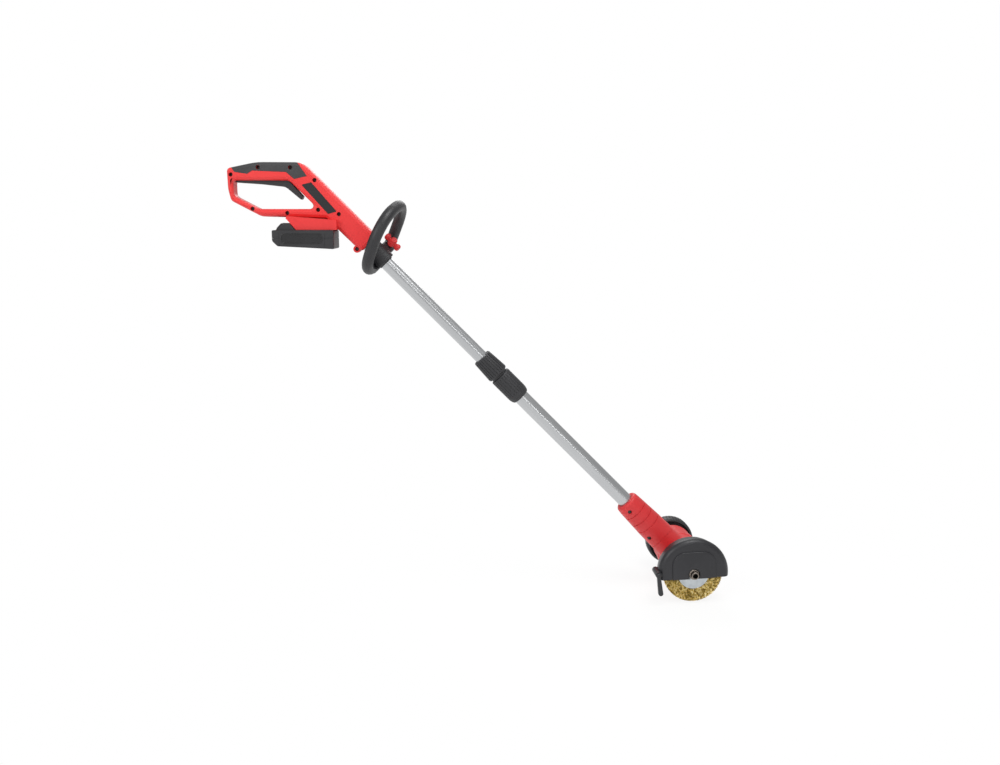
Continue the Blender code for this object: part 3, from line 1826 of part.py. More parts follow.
def make_guard(material):
    """The half round cover, open below, on a ring that turns round the nose."""
    face = GUARD_FACE - PLATEAU_RISE
    curve = 0.008
    profile = [
        (0, GUARD_FACE),
        (PLATEAU_R - 0.0012, GUARD_FACE),
        (PLATEAU_R - 0.0003, GUARD_FACE - 0.0005),
        (PLATEAU_R + 0.0004, face),
    ]
    for step in range(4):
        angle = math.pi / 2 * step / 3
        profile.append(
            (GUARD_R - curve + curve * math.sin(angle), face - curve + curve * math.cos(angle))
        )
    profile += [
        (GUARD_BACK_R, GUARD_BACK),
        (NOSE_R + CLEAR, GUARD_BACK),
        (NOSE_R + CLEAR, GUARD_BACK + 0.0025),
        (GUARD_BACK_R - GUARD_WALL, GUARD_BACK + 0.0025),
    ]
    inner = curve - GUARD_WALL
    for step in range(3):
        angle = math.pi / 2 * (2 - step) / 2
        profile.append(
            (GUARD_R - curve + inner * math.sin(angle), face - curve + inner * math.cos(angle))
        )
    profile.append((0, face - GUARD_WALL))
    made = turned("guard", profile, 28, parent=GUARD)
    below = box(
        "guard_below", (-0.1, -0.1, 0.0), (0.1, -GUARD_DROP, 0.2), parent=GUARD, cutter=True
    )
    notch = turned(
        "guard_notch",
        [(0, 0.11), (NOTCH_R, 0.11), (NOTCH_R, face - 0.010), (0, face - 0.010)],
        20,
        parent=GUARD,
        cutter=True,
    )
    hub = turned(
        "guard_hub",
        [
            (NOSE_R + 0.0045, GUARD_BACK + 0.0045),
            (NOSE_R + 0.0045, GUARD_BACK),
            (NOSE_R + CLEAR, GUARD_BACK),
            (NOSE_R + CLEAR, GUARD_BACK + 0.0045),
        ],
        20,
        closed=True,
        parent=GUARD,
        cutter=True,
    )
    x, y = guard_ear_place()
    ear = turned(
        "guard_ear",
        [(0, face), (0.0052, face), (0.0052, GUARD_BACK + 0.006), (0, GUARD_BACK + 0.006)],
        14,
        parent=GUARD,
        location=(x, y, 0),
        cutter=True,
    )
    bore = turned(
        "guard_ear_bore",
        [(0, 0.11), (0.0020 + CLEAR, 0.11), (0.0020 + CLEAR, face - 0.0125), (0, face - 0.0125)],
        12,
        parent=GUARD,
        location=(x, y, 0),
        cutter=True,
    )
    cut(made, below)
    join(made, ear, hub)
    inside = turned(
        "guard_inside",
        [
            (0, face - GUARD_WALL),
            (GUARD_R - GUARD_WALL - 0.0005, face - GUARD_WALL - 0.006),
            (GUARD_BACK_R - GUARD_WALL, GUARD_BACK + 0.0046),
            (0, GUARD_BACK + 0.0046),
        ],
        28,
        parent=GUARD,
        cutter=True,
    )
    cut(made, inside)
    cut(made, notch, bore, solver="MANIFOLD")
    return set_look(made, material)


def make_guard_lever(material):
    """The tapered lever that clamps the guard, hung on a pivot screw."""
    low = GUARD_FACE - PLATEAU_RISE + CLEAR
    thick = 0.0050
    arm = plate(
        "guard_lever",
        [
            round_corners(
                [
                    (-0.0028, -0.0020, 0.0004),
                    (-0.0040, -LEVER_LENGTH, 0.0036),
                    (0.0040, -LEVER_LENGTH, 0.0036),
                    (0.0028, -0.0020, 0.0004),
                ],
                4,
            )
        ],
        thick,
        upright=False,
        parent=LEVER,
        location=(0, 0, low + thick / 2),
    )
    eye = turned(
        "lever_eye",
        [(0, low + thick), (0.0050, low + thick), (0.0050, low), (0, low)],
        14,
        parent=LEVER,
        cutter=True,
    )
    bore = turned(
        "lever_bore",
        [(0, low + 0.02), (0.0020 + CLEAR, low + 0.02), (0.0020 + CLEAR, low - 0.01), (0, low - 0.01)],
        12,
        parent=LEVER,
        cutter=True,
    )
    return set_look(cut(join(arm, eye), bore), material)


def make_lever_screw(material):
    x, y = guard_ear_place()
    low = GUARD_FACE - PLATEAU_RISE + 2 * CLEAR + 0.0050
    made = turned(
        "guard_lever_screw",
        [
            (0, low + 0.0022),
            (0.0026, low + 0.0022),
            (0.0038, low + 0.0012),
            (0.0038, low),
            (0.0020, low),
            (0.0020, low - 0.0170),
            (0, low - 0.0170),
        ],
        12,
        parent=GUARD,
        location=(x, y, 0),
    )
    return set_look(made, material)


# Guide wheel


def make_wheel(material):
    half = WHEEL_WIDTH / 2
    rim = WHEEL_R - WHEEL_RIM
    bore = AXLE_R + CLEAR
    made = turned(
        "guide_wheel",
        [
            (bore, half - 0.001),
            (WHEEL_HUB_R, half - 0.001),
            (WHEEL_HUB_R, 0.0025),
            (rim, 0.0025),
            (rim, half),
            (WHEEL_R - 0.0015, half),
            (WHEEL_R, half - 0.0015),
            (WHEEL_R, -half + 0.0015),
            (WHEEL_R - 0.0015, -half),
            (rim, -half),
            (rim, -0.0025),
            (WHEEL_HUB_R, -0.0025),
            (WHEEL_HUB_R, -half + 0.001),
            (bore, -half + 0.001),
        ],
        26,
        closed=True,
        parent=WHEEL,
    )
    return set_look(made, material)


def make_axle(material):
    inner = -BARREL_FAR - CLEAR
    hub = -WHEEL_AT + WHEEL_WIDTH / 2 - 0.001 + CLEAR
    end = -WHEEL_AT - WHEEL_WIDTH / 2 + 0.001
    made = turned(
        "wheel_axle",
        [
            (0, -MOTOR_FAR - 0.0050),
            (AXLE_R, -MOTOR_FAR - 0.0050),
            (AXLE_R, inner),
            (0.0085, inner),
            (0.0085, hub),
            (AXLE_R, hub),
            (AXLE_R, end - 0.0040),
            (0, end - 0.0040),
        ],
        12,
        parent=SPINDLE,
    )
    return set_look(made, material)


def make_wheel_cap(material):
    end = -WHEEL_AT - WHEEL_WIDTH / 2 + 0.001 - CLEAR
    made = turned(
        "wheel_cap",
        [
            (0, end - 0.0045),
            (AXLE_R + CLEAR, end - 0.0045),
            (AXLE_R + CLEAR, end),
            (0.0090, end),
            (0.0090, end - 0.0050),
            (0.0075, end - 0.0062),
            (0, end - 0.0062),
        ],
        14,
        parent=SPINDLE,
    )
    return set_look(made, material)


# Assembly


clear_scene()
PARTS = make_collection("Cordless joint cleaner")
CUTTERS = make_collection("Cutters")

FRAME = make_empty("handle_frame")
TRIGGER = make_empty("trigger_frame", FRAME, (TRIGGER_PIN_X, 0, TRIGGER_PIN_Z))
BATTERY = make_empty("battery_frame", FRAME)
LATCH = make_empty("latch_frame", BATTERY, (PACK_REAR + 0.0090, 0, FOOT_UNDER + 0.0015))
POLE = make_empty("pole_frame", FRAME, (NECK_END_X, 0, NECK_END_Z), (0, TILT - math.pi / 2, 0))
BAIL = make_empty("bail_frame", POLE, (0, 0, 0), (0, 0, BAIL_TURN))
KNOB = make_empty(
    "knob_frame",
    BAIL,
    (0.0150 + CLEAR, clamp_bolt_y(), -CLAMP_TOP_AT - CLAMP_LENGTH / 2 - 0.002),
    (0, math.pi / 2, 0),
)
LOWER = make_empty("lower_pole_frame", POLE, (0, 0, -UPPER_EXPOSED))
NUT = make_empty("nut_frame", LOWER)
HEAD = make_empty(
    "head_frame", LOWER, (0, 0, UPPER_EXPOSED - head_distance()), (0, math.pi / 2 - TILT, 0)
)
NECK = make_empty("neck_frame", HEAD, (0, 0, 0), (0, TILT - math.pi / 2, 0))
SPINDLE = make_empty("spindle_frame", HEAD, (0, 0, 0), (math.pi / 2, 0, 0))
ROTOR = make_empty("rotor_frame", SPINDLE)
BRUSH = make_empty("brush_frame", SPINDLE)
PLANET_FRAMES = []
for number in range(PLANETS):
    turn = 2 * math.pi * number / PLANETS
    spot = (planet_distance() * math.cos(turn), planet_distance() * math.sin(turn), 0)
    PLANET_FRAMES.append(make_empty("planet_frame_%d" % (number + 1), BRUSH, spot))
GUARD = make_empty("guard_frame", SPINDLE, (0, 0, 0), (0, 0, GUARD_TURN))
LEVER = make_empty(
    "lever_frame", GUARD, (*guard_ear_place(), 0), (0, 0, math.radians(8) - GUARD_TURN)
)
WHEEL = make_empty("wheel_frame", SPINDLE, (0, 0, -WHEEL_AT))
bpy.context.view_layer.update()

RED = make_material("red shell", (0.78, 0.05, 0.05), 0.38)
DEEP_RED = make_material("head red", (0.55, 0.03, 0.04), 0.40)
BLACK = make_material("black plastic", (0.035, 0.035, 0.040), 0.45)
RUBBER = make_material("soft grip", (0.070, 0.070, 0.072), 0.75)
LABEL = make_material("plate black", (0.020, 0.020, 0.022), 0.30)
ALUMINIUM = make_material("aluminium", (0.60, 0.61, 0.62), 0.30, 1.0)
ZINC = make_material("zinc", (0.66, 0.70, 0.72), 0.35, 1.0)
STEEL = make_material("steel", (0.30, 0.28, 0.26), 0.38, 1.0)
BRASS = make_material("brass wire", (0.60, 0.40, 0.10), 0.38, 1.0)
COPPER = make_material("cell wrap", (0.05, 0.16, 0.34), 0.45)

make_handle_shell("handle_shell_right", -1, RED)
make_handle_shell("handle_shell_left", 1, RED)
make_soft_grip("soft_grip_right", -1, RUBBER)
make_soft_grip("soft_grip_left", 1, RUBBER)
make_rating_plate(LABEL)
make_handle_screws(STEEL)
make_trigger(BLACK)
make_trigger_pin(STEEL)
make_trigger_spring(STEEL)
make_switch(LABEL)
make_terminal_block(BLACK)
make_battery_bottom(BLACK)
make_battery_top(BLACK)
make_latch(BLACK)
make_cells(COPPER)
make_bail_loop(BLACK)
make_bail_sleeve(BLACK)
make_bail_bolt(STEEL)
make_bail_knob(DEEP_RED)
make_upper_tube(ALUMINIUM)
make_lower_tube(ALUMINIUM)
make_twist_nut(BLACK)
make_pole_collar(BLACK)
make_collet(BLACK)
make_power_lead(LABEL)
make_head_shell("head_shell_right", -1, DEEP_RED)
make_head_shell("head_shell_left", 1, DEEP_RED)
make_neck_screws(STEEL)
make_motor(ZINC)
make_rotor(STEEL)
make_ring_gear(STEEL)
make_planets(STEEL)
make_spindle(STEEL)
make_bearings(ZINC)
make_brush(BRASS)
make_brush_flanges(ZINC)
make_hub(STEEL)
make_brush_nut(STEEL)
make_guard(BLACK)
make_guard_lever(BLACK)
make_lever_screw(STEEL)
make_wheel(BLACK)
make_axle(STEEL)
make_wheel_cap(BLACK)
bpy.context.view_layer.update()
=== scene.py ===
# %% [markdown]
# # Cordless joint cleaner
# The imported model is loaded first. It is the fixed frame: every piece below is made in its place, in metres,
# and rides on one of its bodies. Its box is kept and printed.

# %% Load the frame
import json
import math

import bpy
from mathutils import Matrix, Vector

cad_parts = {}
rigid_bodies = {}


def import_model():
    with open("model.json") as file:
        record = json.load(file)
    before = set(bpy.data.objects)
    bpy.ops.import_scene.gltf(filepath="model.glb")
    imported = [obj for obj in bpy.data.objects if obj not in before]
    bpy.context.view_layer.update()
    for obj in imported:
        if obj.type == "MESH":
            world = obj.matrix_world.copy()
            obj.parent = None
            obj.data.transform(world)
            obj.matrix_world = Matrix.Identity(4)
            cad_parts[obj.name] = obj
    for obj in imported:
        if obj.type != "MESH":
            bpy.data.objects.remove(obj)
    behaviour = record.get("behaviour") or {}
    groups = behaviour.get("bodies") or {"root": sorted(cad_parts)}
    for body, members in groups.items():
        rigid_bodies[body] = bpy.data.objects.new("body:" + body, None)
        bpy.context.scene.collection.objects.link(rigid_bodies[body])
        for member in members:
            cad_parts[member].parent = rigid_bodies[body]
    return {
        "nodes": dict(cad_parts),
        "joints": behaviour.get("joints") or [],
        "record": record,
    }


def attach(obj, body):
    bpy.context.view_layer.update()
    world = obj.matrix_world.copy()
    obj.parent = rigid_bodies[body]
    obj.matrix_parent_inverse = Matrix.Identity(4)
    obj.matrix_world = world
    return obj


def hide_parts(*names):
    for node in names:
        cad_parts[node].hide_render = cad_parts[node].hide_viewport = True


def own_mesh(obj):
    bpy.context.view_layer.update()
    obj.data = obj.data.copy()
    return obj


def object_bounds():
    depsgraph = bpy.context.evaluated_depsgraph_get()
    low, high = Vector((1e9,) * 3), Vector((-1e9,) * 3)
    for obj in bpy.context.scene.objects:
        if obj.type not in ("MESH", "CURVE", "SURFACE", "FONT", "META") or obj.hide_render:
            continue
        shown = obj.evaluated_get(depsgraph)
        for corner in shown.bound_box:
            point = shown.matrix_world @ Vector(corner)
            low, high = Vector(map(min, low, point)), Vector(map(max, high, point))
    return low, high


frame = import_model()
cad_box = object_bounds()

print("CAD box", [[round(v, 4) for v in corner] for corner in cad_box])

# %% [markdown]
# The camera looks at the tool's right side, a little from behind the front wheel and from ten degrees above.
# The lens and the distance were fitted to the widths of the brush, the wheel and the tubes.

# %% Camera
aim = Vector((0.3670, 0.0, -0.3380))
eye = Vector((0.2753, -1.4570, -0.0832))
camera_data = bpy.data.cameras.new("camera")
camera_data.lens = 32.4
camera_data.sensor_width = 36.0
camera_data.clip_start = 0.05
camera = bpy.data.objects.new("camera", camera_data)
bpy.context.scene.collection.objects.link(camera)
camera.matrix_world = (aim - eye).to_track_quat("-Z", "Y").to_matrix().to_4x4()
camera.location = eye
bpy.context.scene.camera = camera
print("camera", round((aim - eye).length, 3), "m from its aim")

# %% [markdown]
# Light maths is easier to read as sums and products. This class wraps one output socket of a shader tree,
# and each operator adds the Math node that does it. `Tree.node` adds any other node in one line.

# %% Shader maths
class Value:
    """One output socket, with the usual operators."""

    def __init__(self, tree, socket):
        self.tree = tree
        self.socket = socket

    def _with(self, operation, other, swapped=False):
        pair = (other, self) if swapped else (self, other)
        return self.tree.maths(operation, *pair)

    def __add__(self, other):
        return self._with("ADD", other)

    def __sub__(self, other):
        return self._with("SUBTRACT", other)

    def __mul__(self, other):
        return self._with("MULTIPLY", other)

    def __truediv__(self, other):
        return self._with("DIVIDE", other)

    def __radd__(self, other):
        return self._with("ADD", other)

    def __rsub__(self, other):
        return self._with("SUBTRACT", other, True)

    def __rmul__(self, other):
        return self._with("MULTIPLY", other)

    def __neg__(self):
        return self.tree.maths("MULTIPLY", self, -1.0)


class Tree:
    """The node tree of one material."""

    def __init__(self, name):
        self.material = bpy.data.materials.new(name)
        self.material.use_nodes = True
        self.nodes = self.material.node_tree.nodes
        self.links = self.material.node_tree.links
        self.shader = self.nodes["Principled BSDF"]

    def feed(self, socket, value):
        if isinstance(value, Value):
            self.links.new(value.socket, socket)
        else:
            socket.default_value = value

    def node(self, kind, settings=None, output=0, **inputs):
        """A node with its settings, then values or links for its inputs by name or number."""
        made = self.nodes.new(kind)
        for name, value in (settings or {}).items():
            setattr(made, name, value)
        for name, value in inputs.items():
            key = int(name[1:]) if name.startswith("_") else name.replace("_", " ")
            self.feed(made.inputs[key], value)
        return Value(self, made.outputs[output])

    def maths(self, operation, *values):
        named = {"_%d" % index: value for index, value in enumerate(values)}
        return self.node("ShaderNodeMath", {"operation": operation}, **named)

    def ramp(self, value, low, high):
        """0 below low, 1 above high, and even between."""
        return self.node("ShaderNodeMapRange", {"clamp": True}, Value=value, From_Min=low, From_Max=high)

    def mix(self, factor, first, second):
        return self.node(
            "ShaderNodeMix", {"data_type": "RGBA"}, 2, _0=factor, _6=first, _7=second
        )

    def place(self):
        return self.node("ShaderNodeTexCoord", output=3)

    def noise(self, scale, detail=3.0, stretch=(1, 1, 1), turn=(0, 0, 0), roughness=0.5):
        """Noise on the object's own coordinates, turned first and then stretched."""
        turned = self.node("ShaderNodeMapping", Vector=self.place(), Rotation=turn)
        spot = self.node("ShaderNodeMapping", Vector=turned, Scale=stretch)
        return self.node(
            "ShaderNodeTexNoise", Vector=spot, Scale=scale, Detail=detail, Roughness=roughness
        )

    def bump(self, height, distance, strength=0.5):
        return self.node(
            "ShaderNodeBump", Strength=strength, Distance=distance, Height=height
        )

    def finish(self, **inputs):
        for name, value in inputs.items():
            self.feed(self.shader.inputs[name.replace("_", " ")], value)
        return self.material


print("shader maths ready")

# %% [markdown]
# The stage is a pale floor under the brush and the wheel, with soft lamps from above, from the left and
# from behind. A long narrow lamp beside the pole draws the bright streak on the tubes. The camera sees the
# world as white.

# %% Stage and lamps
def pale_floor():
    tree = Tree("stage_white")
    tree.shader.inputs["Base Color"].default_value = (0.90, 0.90, 0.90, 1)
    tree.shader.inputs["Roughness"].default_value = 0.9
    glow = tree.nodes.new("ShaderNodeEmission")
    glow.inputs["Color"].default_value = (1, 1, 1, 1)
    path = tree.nodes.new("ShaderNodeLightPath")
    seen = tree.maths(
        "MAXIMUM", Value(tree, path.outputs["Is Camera Ray"]), Value(tree, path.outputs["Is Glossy Ray"])
    )
    seen = tree.maths("MAXIMUM", seen, Value(tree, path.outputs["Is Transmission Ray"]))
    both = tree.nodes.new("ShaderNodeMixShader")
    away = tree.node("ShaderNodeVectorMath", {"operation": "DISTANCE"}, 1, _0=tree.place(), _1=(0.67, 0, 0))
    tree.feed(both.inputs[0], seen * (0.88 + tree.ramp(away, 0.12, 0.55) * 0.12))
    tree.links.new(tree.shader.outputs[0], both.inputs[1])
    tree.links.new(glow.outputs[0], both.inputs[2])
    tree.links.new(both.outputs[0], tree.nodes["Material Output"].inputs["Surface"])
    return tree.material


bpy.ops.object.select_all(action="DESELECT")
bpy.ops.mesh.primitive_plane_add(size=30.0, location=(0, 0, cad_box[0][2] - 0.002))
floor = bpy.context.object
floor.name = "floor"
floor.data.materials.append(pale_floor())

world = bpy.data.worlds.new("studio")
bpy.context.scene.world = world
world.use_nodes = True
sky = world.node_tree
light_of_world = sky.nodes["Background"]
light_of_world.inputs["Color"].default_value = (1.0, 1.0, 1.0, 1)
light_of_world.inputs["Strength"].default_value = 0.50
seen_white = sky.nodes.new("ShaderNodeBackground")
seen_white.inputs["Color"].default_value = (1, 1, 1, 1)
seen_white.inputs["Strength"].default_value = 1.0
path = sky.nodes.new("ShaderNodeLightPath")
blend = sky.nodes.new("ShaderNodeMixShader")
sky.links.new(path.outputs["Is Camera Ray"], blend.inputs[0])
sky.links.new(light_of_world.outputs[0], blend.inputs[1])
sky.links.new(seen_white.outputs[0], blend.inputs[2])
sky.links.new(blend.outputs[0], sky.nodes["World Output"].inputs["Surface"])


def soft_lamp(name, spot, at, size, watts):
    lamp = bpy.data.lights.new(name, "AREA")
    lamp.size = size
    lamp.energy = watts
    holder = bpy.data.objects.new(name, lamp)
    bpy.context.scene.collection.objects.link(holder)
    holder.matrix_world = (Vector(at) - Vector(spot)).to_track_quat("-Z", "Y").to_matrix().to_4x4()
    holder.location = spot
    return holder


soft_lamp("lamp_above", (0.9, -0.7, 1.6), (0.35, 0, -0.35), 1.2, 26)
soft_lamp("lamp_left", (-1.2, -1.6, 0.6), (0.35, 0, -0.35), 1.4, 18)
soft_lamp("lamp_behind", (0.6, 1.7, 0.9), (0.35, 0, -0.35), 1.2, 14)

MIDDLE = Vector((0.367, 0, -0.338))
STRIP_SPOT = Vector((0.728, -1.197, 0.13))
UP_THE_POLE = Vector((-0.70091, 0, 0.71325))
strip = soft_lamp("lamp_strip", STRIP_SPOT, MIDDLE, 1.4, 1.8)
strip.data.shape = "RECTANGLE"
strip.data.size_y = 0.09
away = (STRIP_SPOT - MIDDLE).normalized()
along = (UP_THE_POLE - away * away.dot(UP_THE_POLE)).normalized()
strip.matrix_world = Matrix((along, away.cross(along), away)).transposed().to_4x4()
strip.location = STRIP_SPOT
bpy.context.scene.view_settings.view_transform = "Standard"
print("stage and four lamps")

# %% [markdown]
# ## Finishes
# The shells are moulded plastic. A mould has a fine spark-eroded grain, and use leaves faint cloudy
# patches where hands rub it smoother. Both come from noise on the object's own coordinates.

# %% Moulded plastics
def moulded(name, deep, pale, rough, grain=1700.0, depth=0.00005, coat=0.0):
    """A plastic with a fine mould grain, cloudy colour and rubbed patches."""
    tree = Tree(name)
    cloud = tree.ramp(tree.noise(9.0, 4.0), 0.34, 0.68)
    speck = tree.ramp(tree.noise(grain * 0.6, 2.0), 0.30, 0.75)
    colour = tree.mix(cloud * 0.85 + speck * 0.15, (*deep, 1), (*pale, 1))
    rubbed = tree.ramp(tree.noise(23.0, 5.0), 0.45, 0.75)
    fine = tree.noise(grain, 2.0, roughness=0.7)
    return tree.finish(
        Base_Color=colour,
        Roughness=rough - rubbed * 0.10 + speck * 0.06,
        Normal=tree.bump(fine, depth, 0.55),
        Coat_Weight=coat,
    )


red_shell = moulded("red_shell", (0.690, 0.019, 0.021), (0.750, 0.032, 0.031), 0.42)
head_red = moulded("head_red", (0.560, 0.018, 0.022), (0.640, 0.030, 0.032), 0.44)
black_plastic = moulded("black_plastic", (0.014, 0.014, 0.016), (0.026, 0.026, 0.029), 0.46)
guard_black = moulded("guard_black", (0.013, 0.013, 0.016), (0.023, 0.023, 0.027), 0.40)
plate_black = moulded("plate_black", (0.010, 0.010, 0.011), (0.017, 0.017, 0.019), 0.28, depth=0.00003)
seam_black = moulded("seam_black", (0.004, 0.004, 0.005), (0.006, 0.006, 0.007), 0.60, depth=0.00002)
cell_wrap = moulded("cell_wrap", (0.02, 0.09, 0.25), (0.04, 0.13, 0.31), 0.35, depth=0.00003)
print("moulded plastics ready")

# %% [markdown]
# The grip's overmould is a soft rubber. Its grain is coarser than the shells', and it shines less.

# %% Soft grip
def soft_rubber(name):
    tree = Tree(name)
    dots = tree.node(
        "ShaderNodeTexVoronoi", {"feature": "F1"}, 0, Vector=tree.place(), Scale=620.0, Randomness=0.15
    )
    pit = tree.ramp(dots, 0.15, 0.55)
    cloud = tree.ramp(tree.noise(14.0, 4.0), 0.35, 0.7)
    colour = tree.mix(cloud, (0.040, 0.040, 0.042, 1), (0.062, 0.062, 0.065, 1))
    return tree.finish(
        Base_Color=tree.mix(pit * 0.35, colour, (0.022, 0.022, 0.023, 1)),
        Roughness=0.70 + pit * 0.12,
        Normal=tree.bump(pit, 0.00025, 0.6),
    )


soft_grip = soft_rubber("soft_grip")
print("soft grip")

# %% [markdown]
# The tubes are drawn aluminium with a clear anodised skin. Drawing leaves hair lines along the pole, so
# the noise is squeezed across it and stretched along it, after a turn that brings the pole upright.

# %% Metals
POLE_TILT = math.radians(45.5)


def drawn_tube(name):
    tree = Tree(name)
    turn = (0, math.pi / 2 - POLE_TILT, 0)
    hair = tree.noise(1.0, 3.0, stretch=(700, 700, 4), turn=turn)
    band = tree.noise(1.0, 3.0, stretch=(190, 190, 2), turn=turn)
    cloud = tree.ramp(tree.noise(11.0, 4.0), 0.35, 0.70)
    colour = tree.mix(tree.ramp(band, 0.3, 0.7), (0.50, 0.51, 0.52, 1), (0.57, 0.58, 0.59, 1))
    return tree.finish(
        Base_Color=tree.mix(cloud * 0.25, colour, (0.46, 0.47, 0.49, 1)),
        Metallic=1.0,
        Roughness=0.24 + tree.ramp(hair, 0.3, 0.7) * 0.06 + cloud * 0.03,
        Normal=tree.bump(hair, 0.000006, 0.25),
    )


def worked_metal(name, deep, pale, rough, scratch=900.0):
    """A turned, plated or drawn metal with fine scratches and dull patches."""
    tree = Tree(name)
    line = tree.noise(1.0, 4.0, stretch=(scratch, scratch * 0.06, scratch))
    patch = tree.ramp(tree.noise(60.0, 5.0), 0.38, 0.70)
    colour = tree.mix(patch, (*deep, 1), (*pale, 1))
    return tree.finish(
        Base_Color=colour,
        Metallic=1.0,
        Roughness=rough + tree.ramp(line, 0.35, 0.7) * 0.12 + patch * 0.06,
        Normal=tree.bump(line, 0.00004, 0.5),
    )


def brass_painted_glints_and_shadow(name):
    """Brass-plated wire in grains of old gold, with painted brown shadow between the wires and painted
    bright-gold glints, as a dense brush shows under light.
    """
    tree = Tree(name)
    grain = tree.noise(300.0, 2.0, roughness=0.6)
    fine = tree.noise(900.0, 2.0)
    # painted shadow: the low end of the grain noise is dark brown, standing in for the shade between the wires
    gold_and_painted_shadow = tree.mix(tree.ramp(grain, 0.40, 0.54), (0.27, 0.170, 0.022, 1), (0.84, 0.62, 0.16, 1))
    # painted highlight: the brightest grains turn pale gold as glints on the wires
    painted_glint = tree.ramp(grain * 0.6 + fine * 0.4, 0.52, 0.60)
    return tree.finish(
        Base_Color=tree.mix(painted_glint, gold_and_painted_shadow, (1.0, 0.92, 0.56, 1)),
        Metallic=0.30,
        Roughness=0.40 + tree.ramp(fine, 0.3, 0.7) * 0.12,
        Normal=tree.bump(fine, 0.00005, 0.4),
    )


aluminium = drawn_tube("aluminium")
zinc = worked_metal("zinc", (0.46, 0.49, 0.51), (0.62, 0.66, 0.68), 0.34)
steel = worked_metal("steel", (0.22, 0.20, 0.18), (0.36, 0.33, 0.30), 0.34)
# painted shade: the screw heads are made near-black to stand in for the shade inside their holes
screw_steel_painted_shade = worked_metal("screw_steel_painted_shade", (0.05, 0.05, 0.05), (0.09, 0.09, 0.09), 0.36)
brass_wire = brass_painted_glints_and_shadow("brass_wire")
print("metals", 5)

# %% [markdown]
# Every node of the model gets its finish before any piece takes its place.

# %% Dress the nodes
FINISHES = {
    "red_shell": red_shell,
    "head_red": head_red,
    "black_plastic": black_plastic,
    "soft_grip": soft_grip,
    "plate_black": plate_black,
    "aluminium": aluminium,
    "zinc": zinc,
    "steel": steel,
    "brass_wire": brass_wire,
    "cell_wrap": cell_wrap,
}
for part in frame["record"]["subparts"]:
    node = frame["nodes"][part["node"]]
    node.data.materials.clear()
    node.data.materials.append(FINISHES[part["material_slot"]])
# the screws get the near-black steel that stands in for the shade of their holes
for name in ("handle_screw_%d" % number for number in range(1, 10)):
    frame["nodes"][name].data.materials[0] = screw_steel_painted_shade
for name in ("neck_screw_1", "neck_screw_2"):
    frame["nodes"][name].data.materials[0] = screw_steel_painted_shade
for name in ("guard_lever", "guard_lever_screw"):
    frame["nodes"][name].data.materials[0] = guard_black
frame["nodes"]["guard"].data.materials[0] = guard_black
print("dressed", len(frame["nodes"]), "nodes")

# %% [markdown]
# ## Working places
# Nearly every round piece turns about one of two lines: the pole, or the spindle across the head. Each gets
# a space of its own, with its Z on that line. A piece is modelled upright at the origin, then set down in
# its space, and the place goes into the mesh, as it does for the model's own nodes.

# %% Pole space and spindle space
NECK_END = Vector((0.158, 0.0, -0.114))
SPINDLE_SPOT = Vector((0.67878, 0.0, -0.64395))
GUARD_TURN = math.radians(2.4)
pole_space = Matrix.Translation(NECK_END) @ Matrix.Rotation(POLE_TILT - math.pi / 2, 4, "Y")
spindle_space = Matrix.Translation(SPINDLE_SPOT) @ Matrix.Rotation(math.pi / 2, 4, "X")
AS_IT_STANDS = Matrix.Identity(4)
neck_space = Matrix.Translation(SPINDLE_SPOT) @ Matrix.Rotation(POLE_TILT - math.pi / 2, 4, "Y")
guard_space = spindle_space @ Matrix.Rotation(GUARD_TURN, 4, "Z")


def span(node, space, axis=2):
    """How far a node reaches along one axis of a space."""
    back = space.inverted()
    along = [(back @ vertex.co)[axis] for vertex in frame["nodes"][node].data.vertices]
    return min(along), max(along)


print("upper tube in pole space", [round(v, 4) for v in span("upper_tube", pole_space)])
print("lower tube in pole space", [round(v, 4) for v in span("lower_tube", pole_space)])
print("wire brush in spindle space", [round(v, 4) for v in span("wire_brush", spindle_space)])


# %% Starting and ending a piece
def begin(name):
    """Names the primitive that was just added, and its mesh, and hands it back."""
    piece = bpy.context.object
    piece.name = name
    piece.data.name = name
    return piece


def edit(piece):
    bpy.ops.object.select_all(action="DESELECT")
    bpy.context.view_layer.objects.active = piece
    piece.select_set(True)
    bpy.ops.object.mode_set(mode="EDIT")
    bpy.ops.mesh.select_mode(type="VERT")


def leave():
    bpy.ops.object.mode_set(mode="OBJECT")


def set_down(piece, space):
    """Puts a piece in its space and moves the place into its mesh."""
    piece.matrix_world = space @ piece.matrix_world
    bpy.ops.object.select_all(action="DESELECT")
    bpy.context.view_layer.objects.active = piece
    piece.select_set(True)
    bpy.ops.object.transform_apply(location=True, rotation=True, scale=True)
    return piece


def copy_of(piece, name):
    """A second piece of the same shape, with a mesh of its own."""
    bpy.ops.object.select_all(action="DESELECT")
    piece.select_set(True)
    bpy.context.view_layer.objects.active = piece
    bpy.ops.object.duplicate()
    return begin(name)


def hand_over(piece, finish, body, nodes=(), angle=32):
    """Closes the piece's normals, smooths it, dresses it and lets it ride."""
    edit(piece)
    bpy.ops.mesh.select_all(action="SELECT")
    bpy.ops.mesh.remove_doubles(threshold=0.000005)
    bpy.ops.mesh.normals_make_consistent(inside=False)
    leave()
    bpy.ops.object.shade_smooth_by_angle(angle=math.radians(angle))
    piece.data.materials.clear()
    piece.data.materials.append(finish)
    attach(piece, body)
    if nodes:
        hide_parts(*nodes)
    print(piece.name, len(piece.data.polygons), "faces, rides on", body)
    return piece


print("ready to model")

# %% [markdown]
# A lathe makes most of this tool. Here it starts as a circle of edges. Each step of the profile pulls the
# last ring out along Z and resizes it, just as Extrude and Scale do by hand. An open profile is closed by
# flat caps, and a ring-shaped one ends where it began, so that its seam merges.

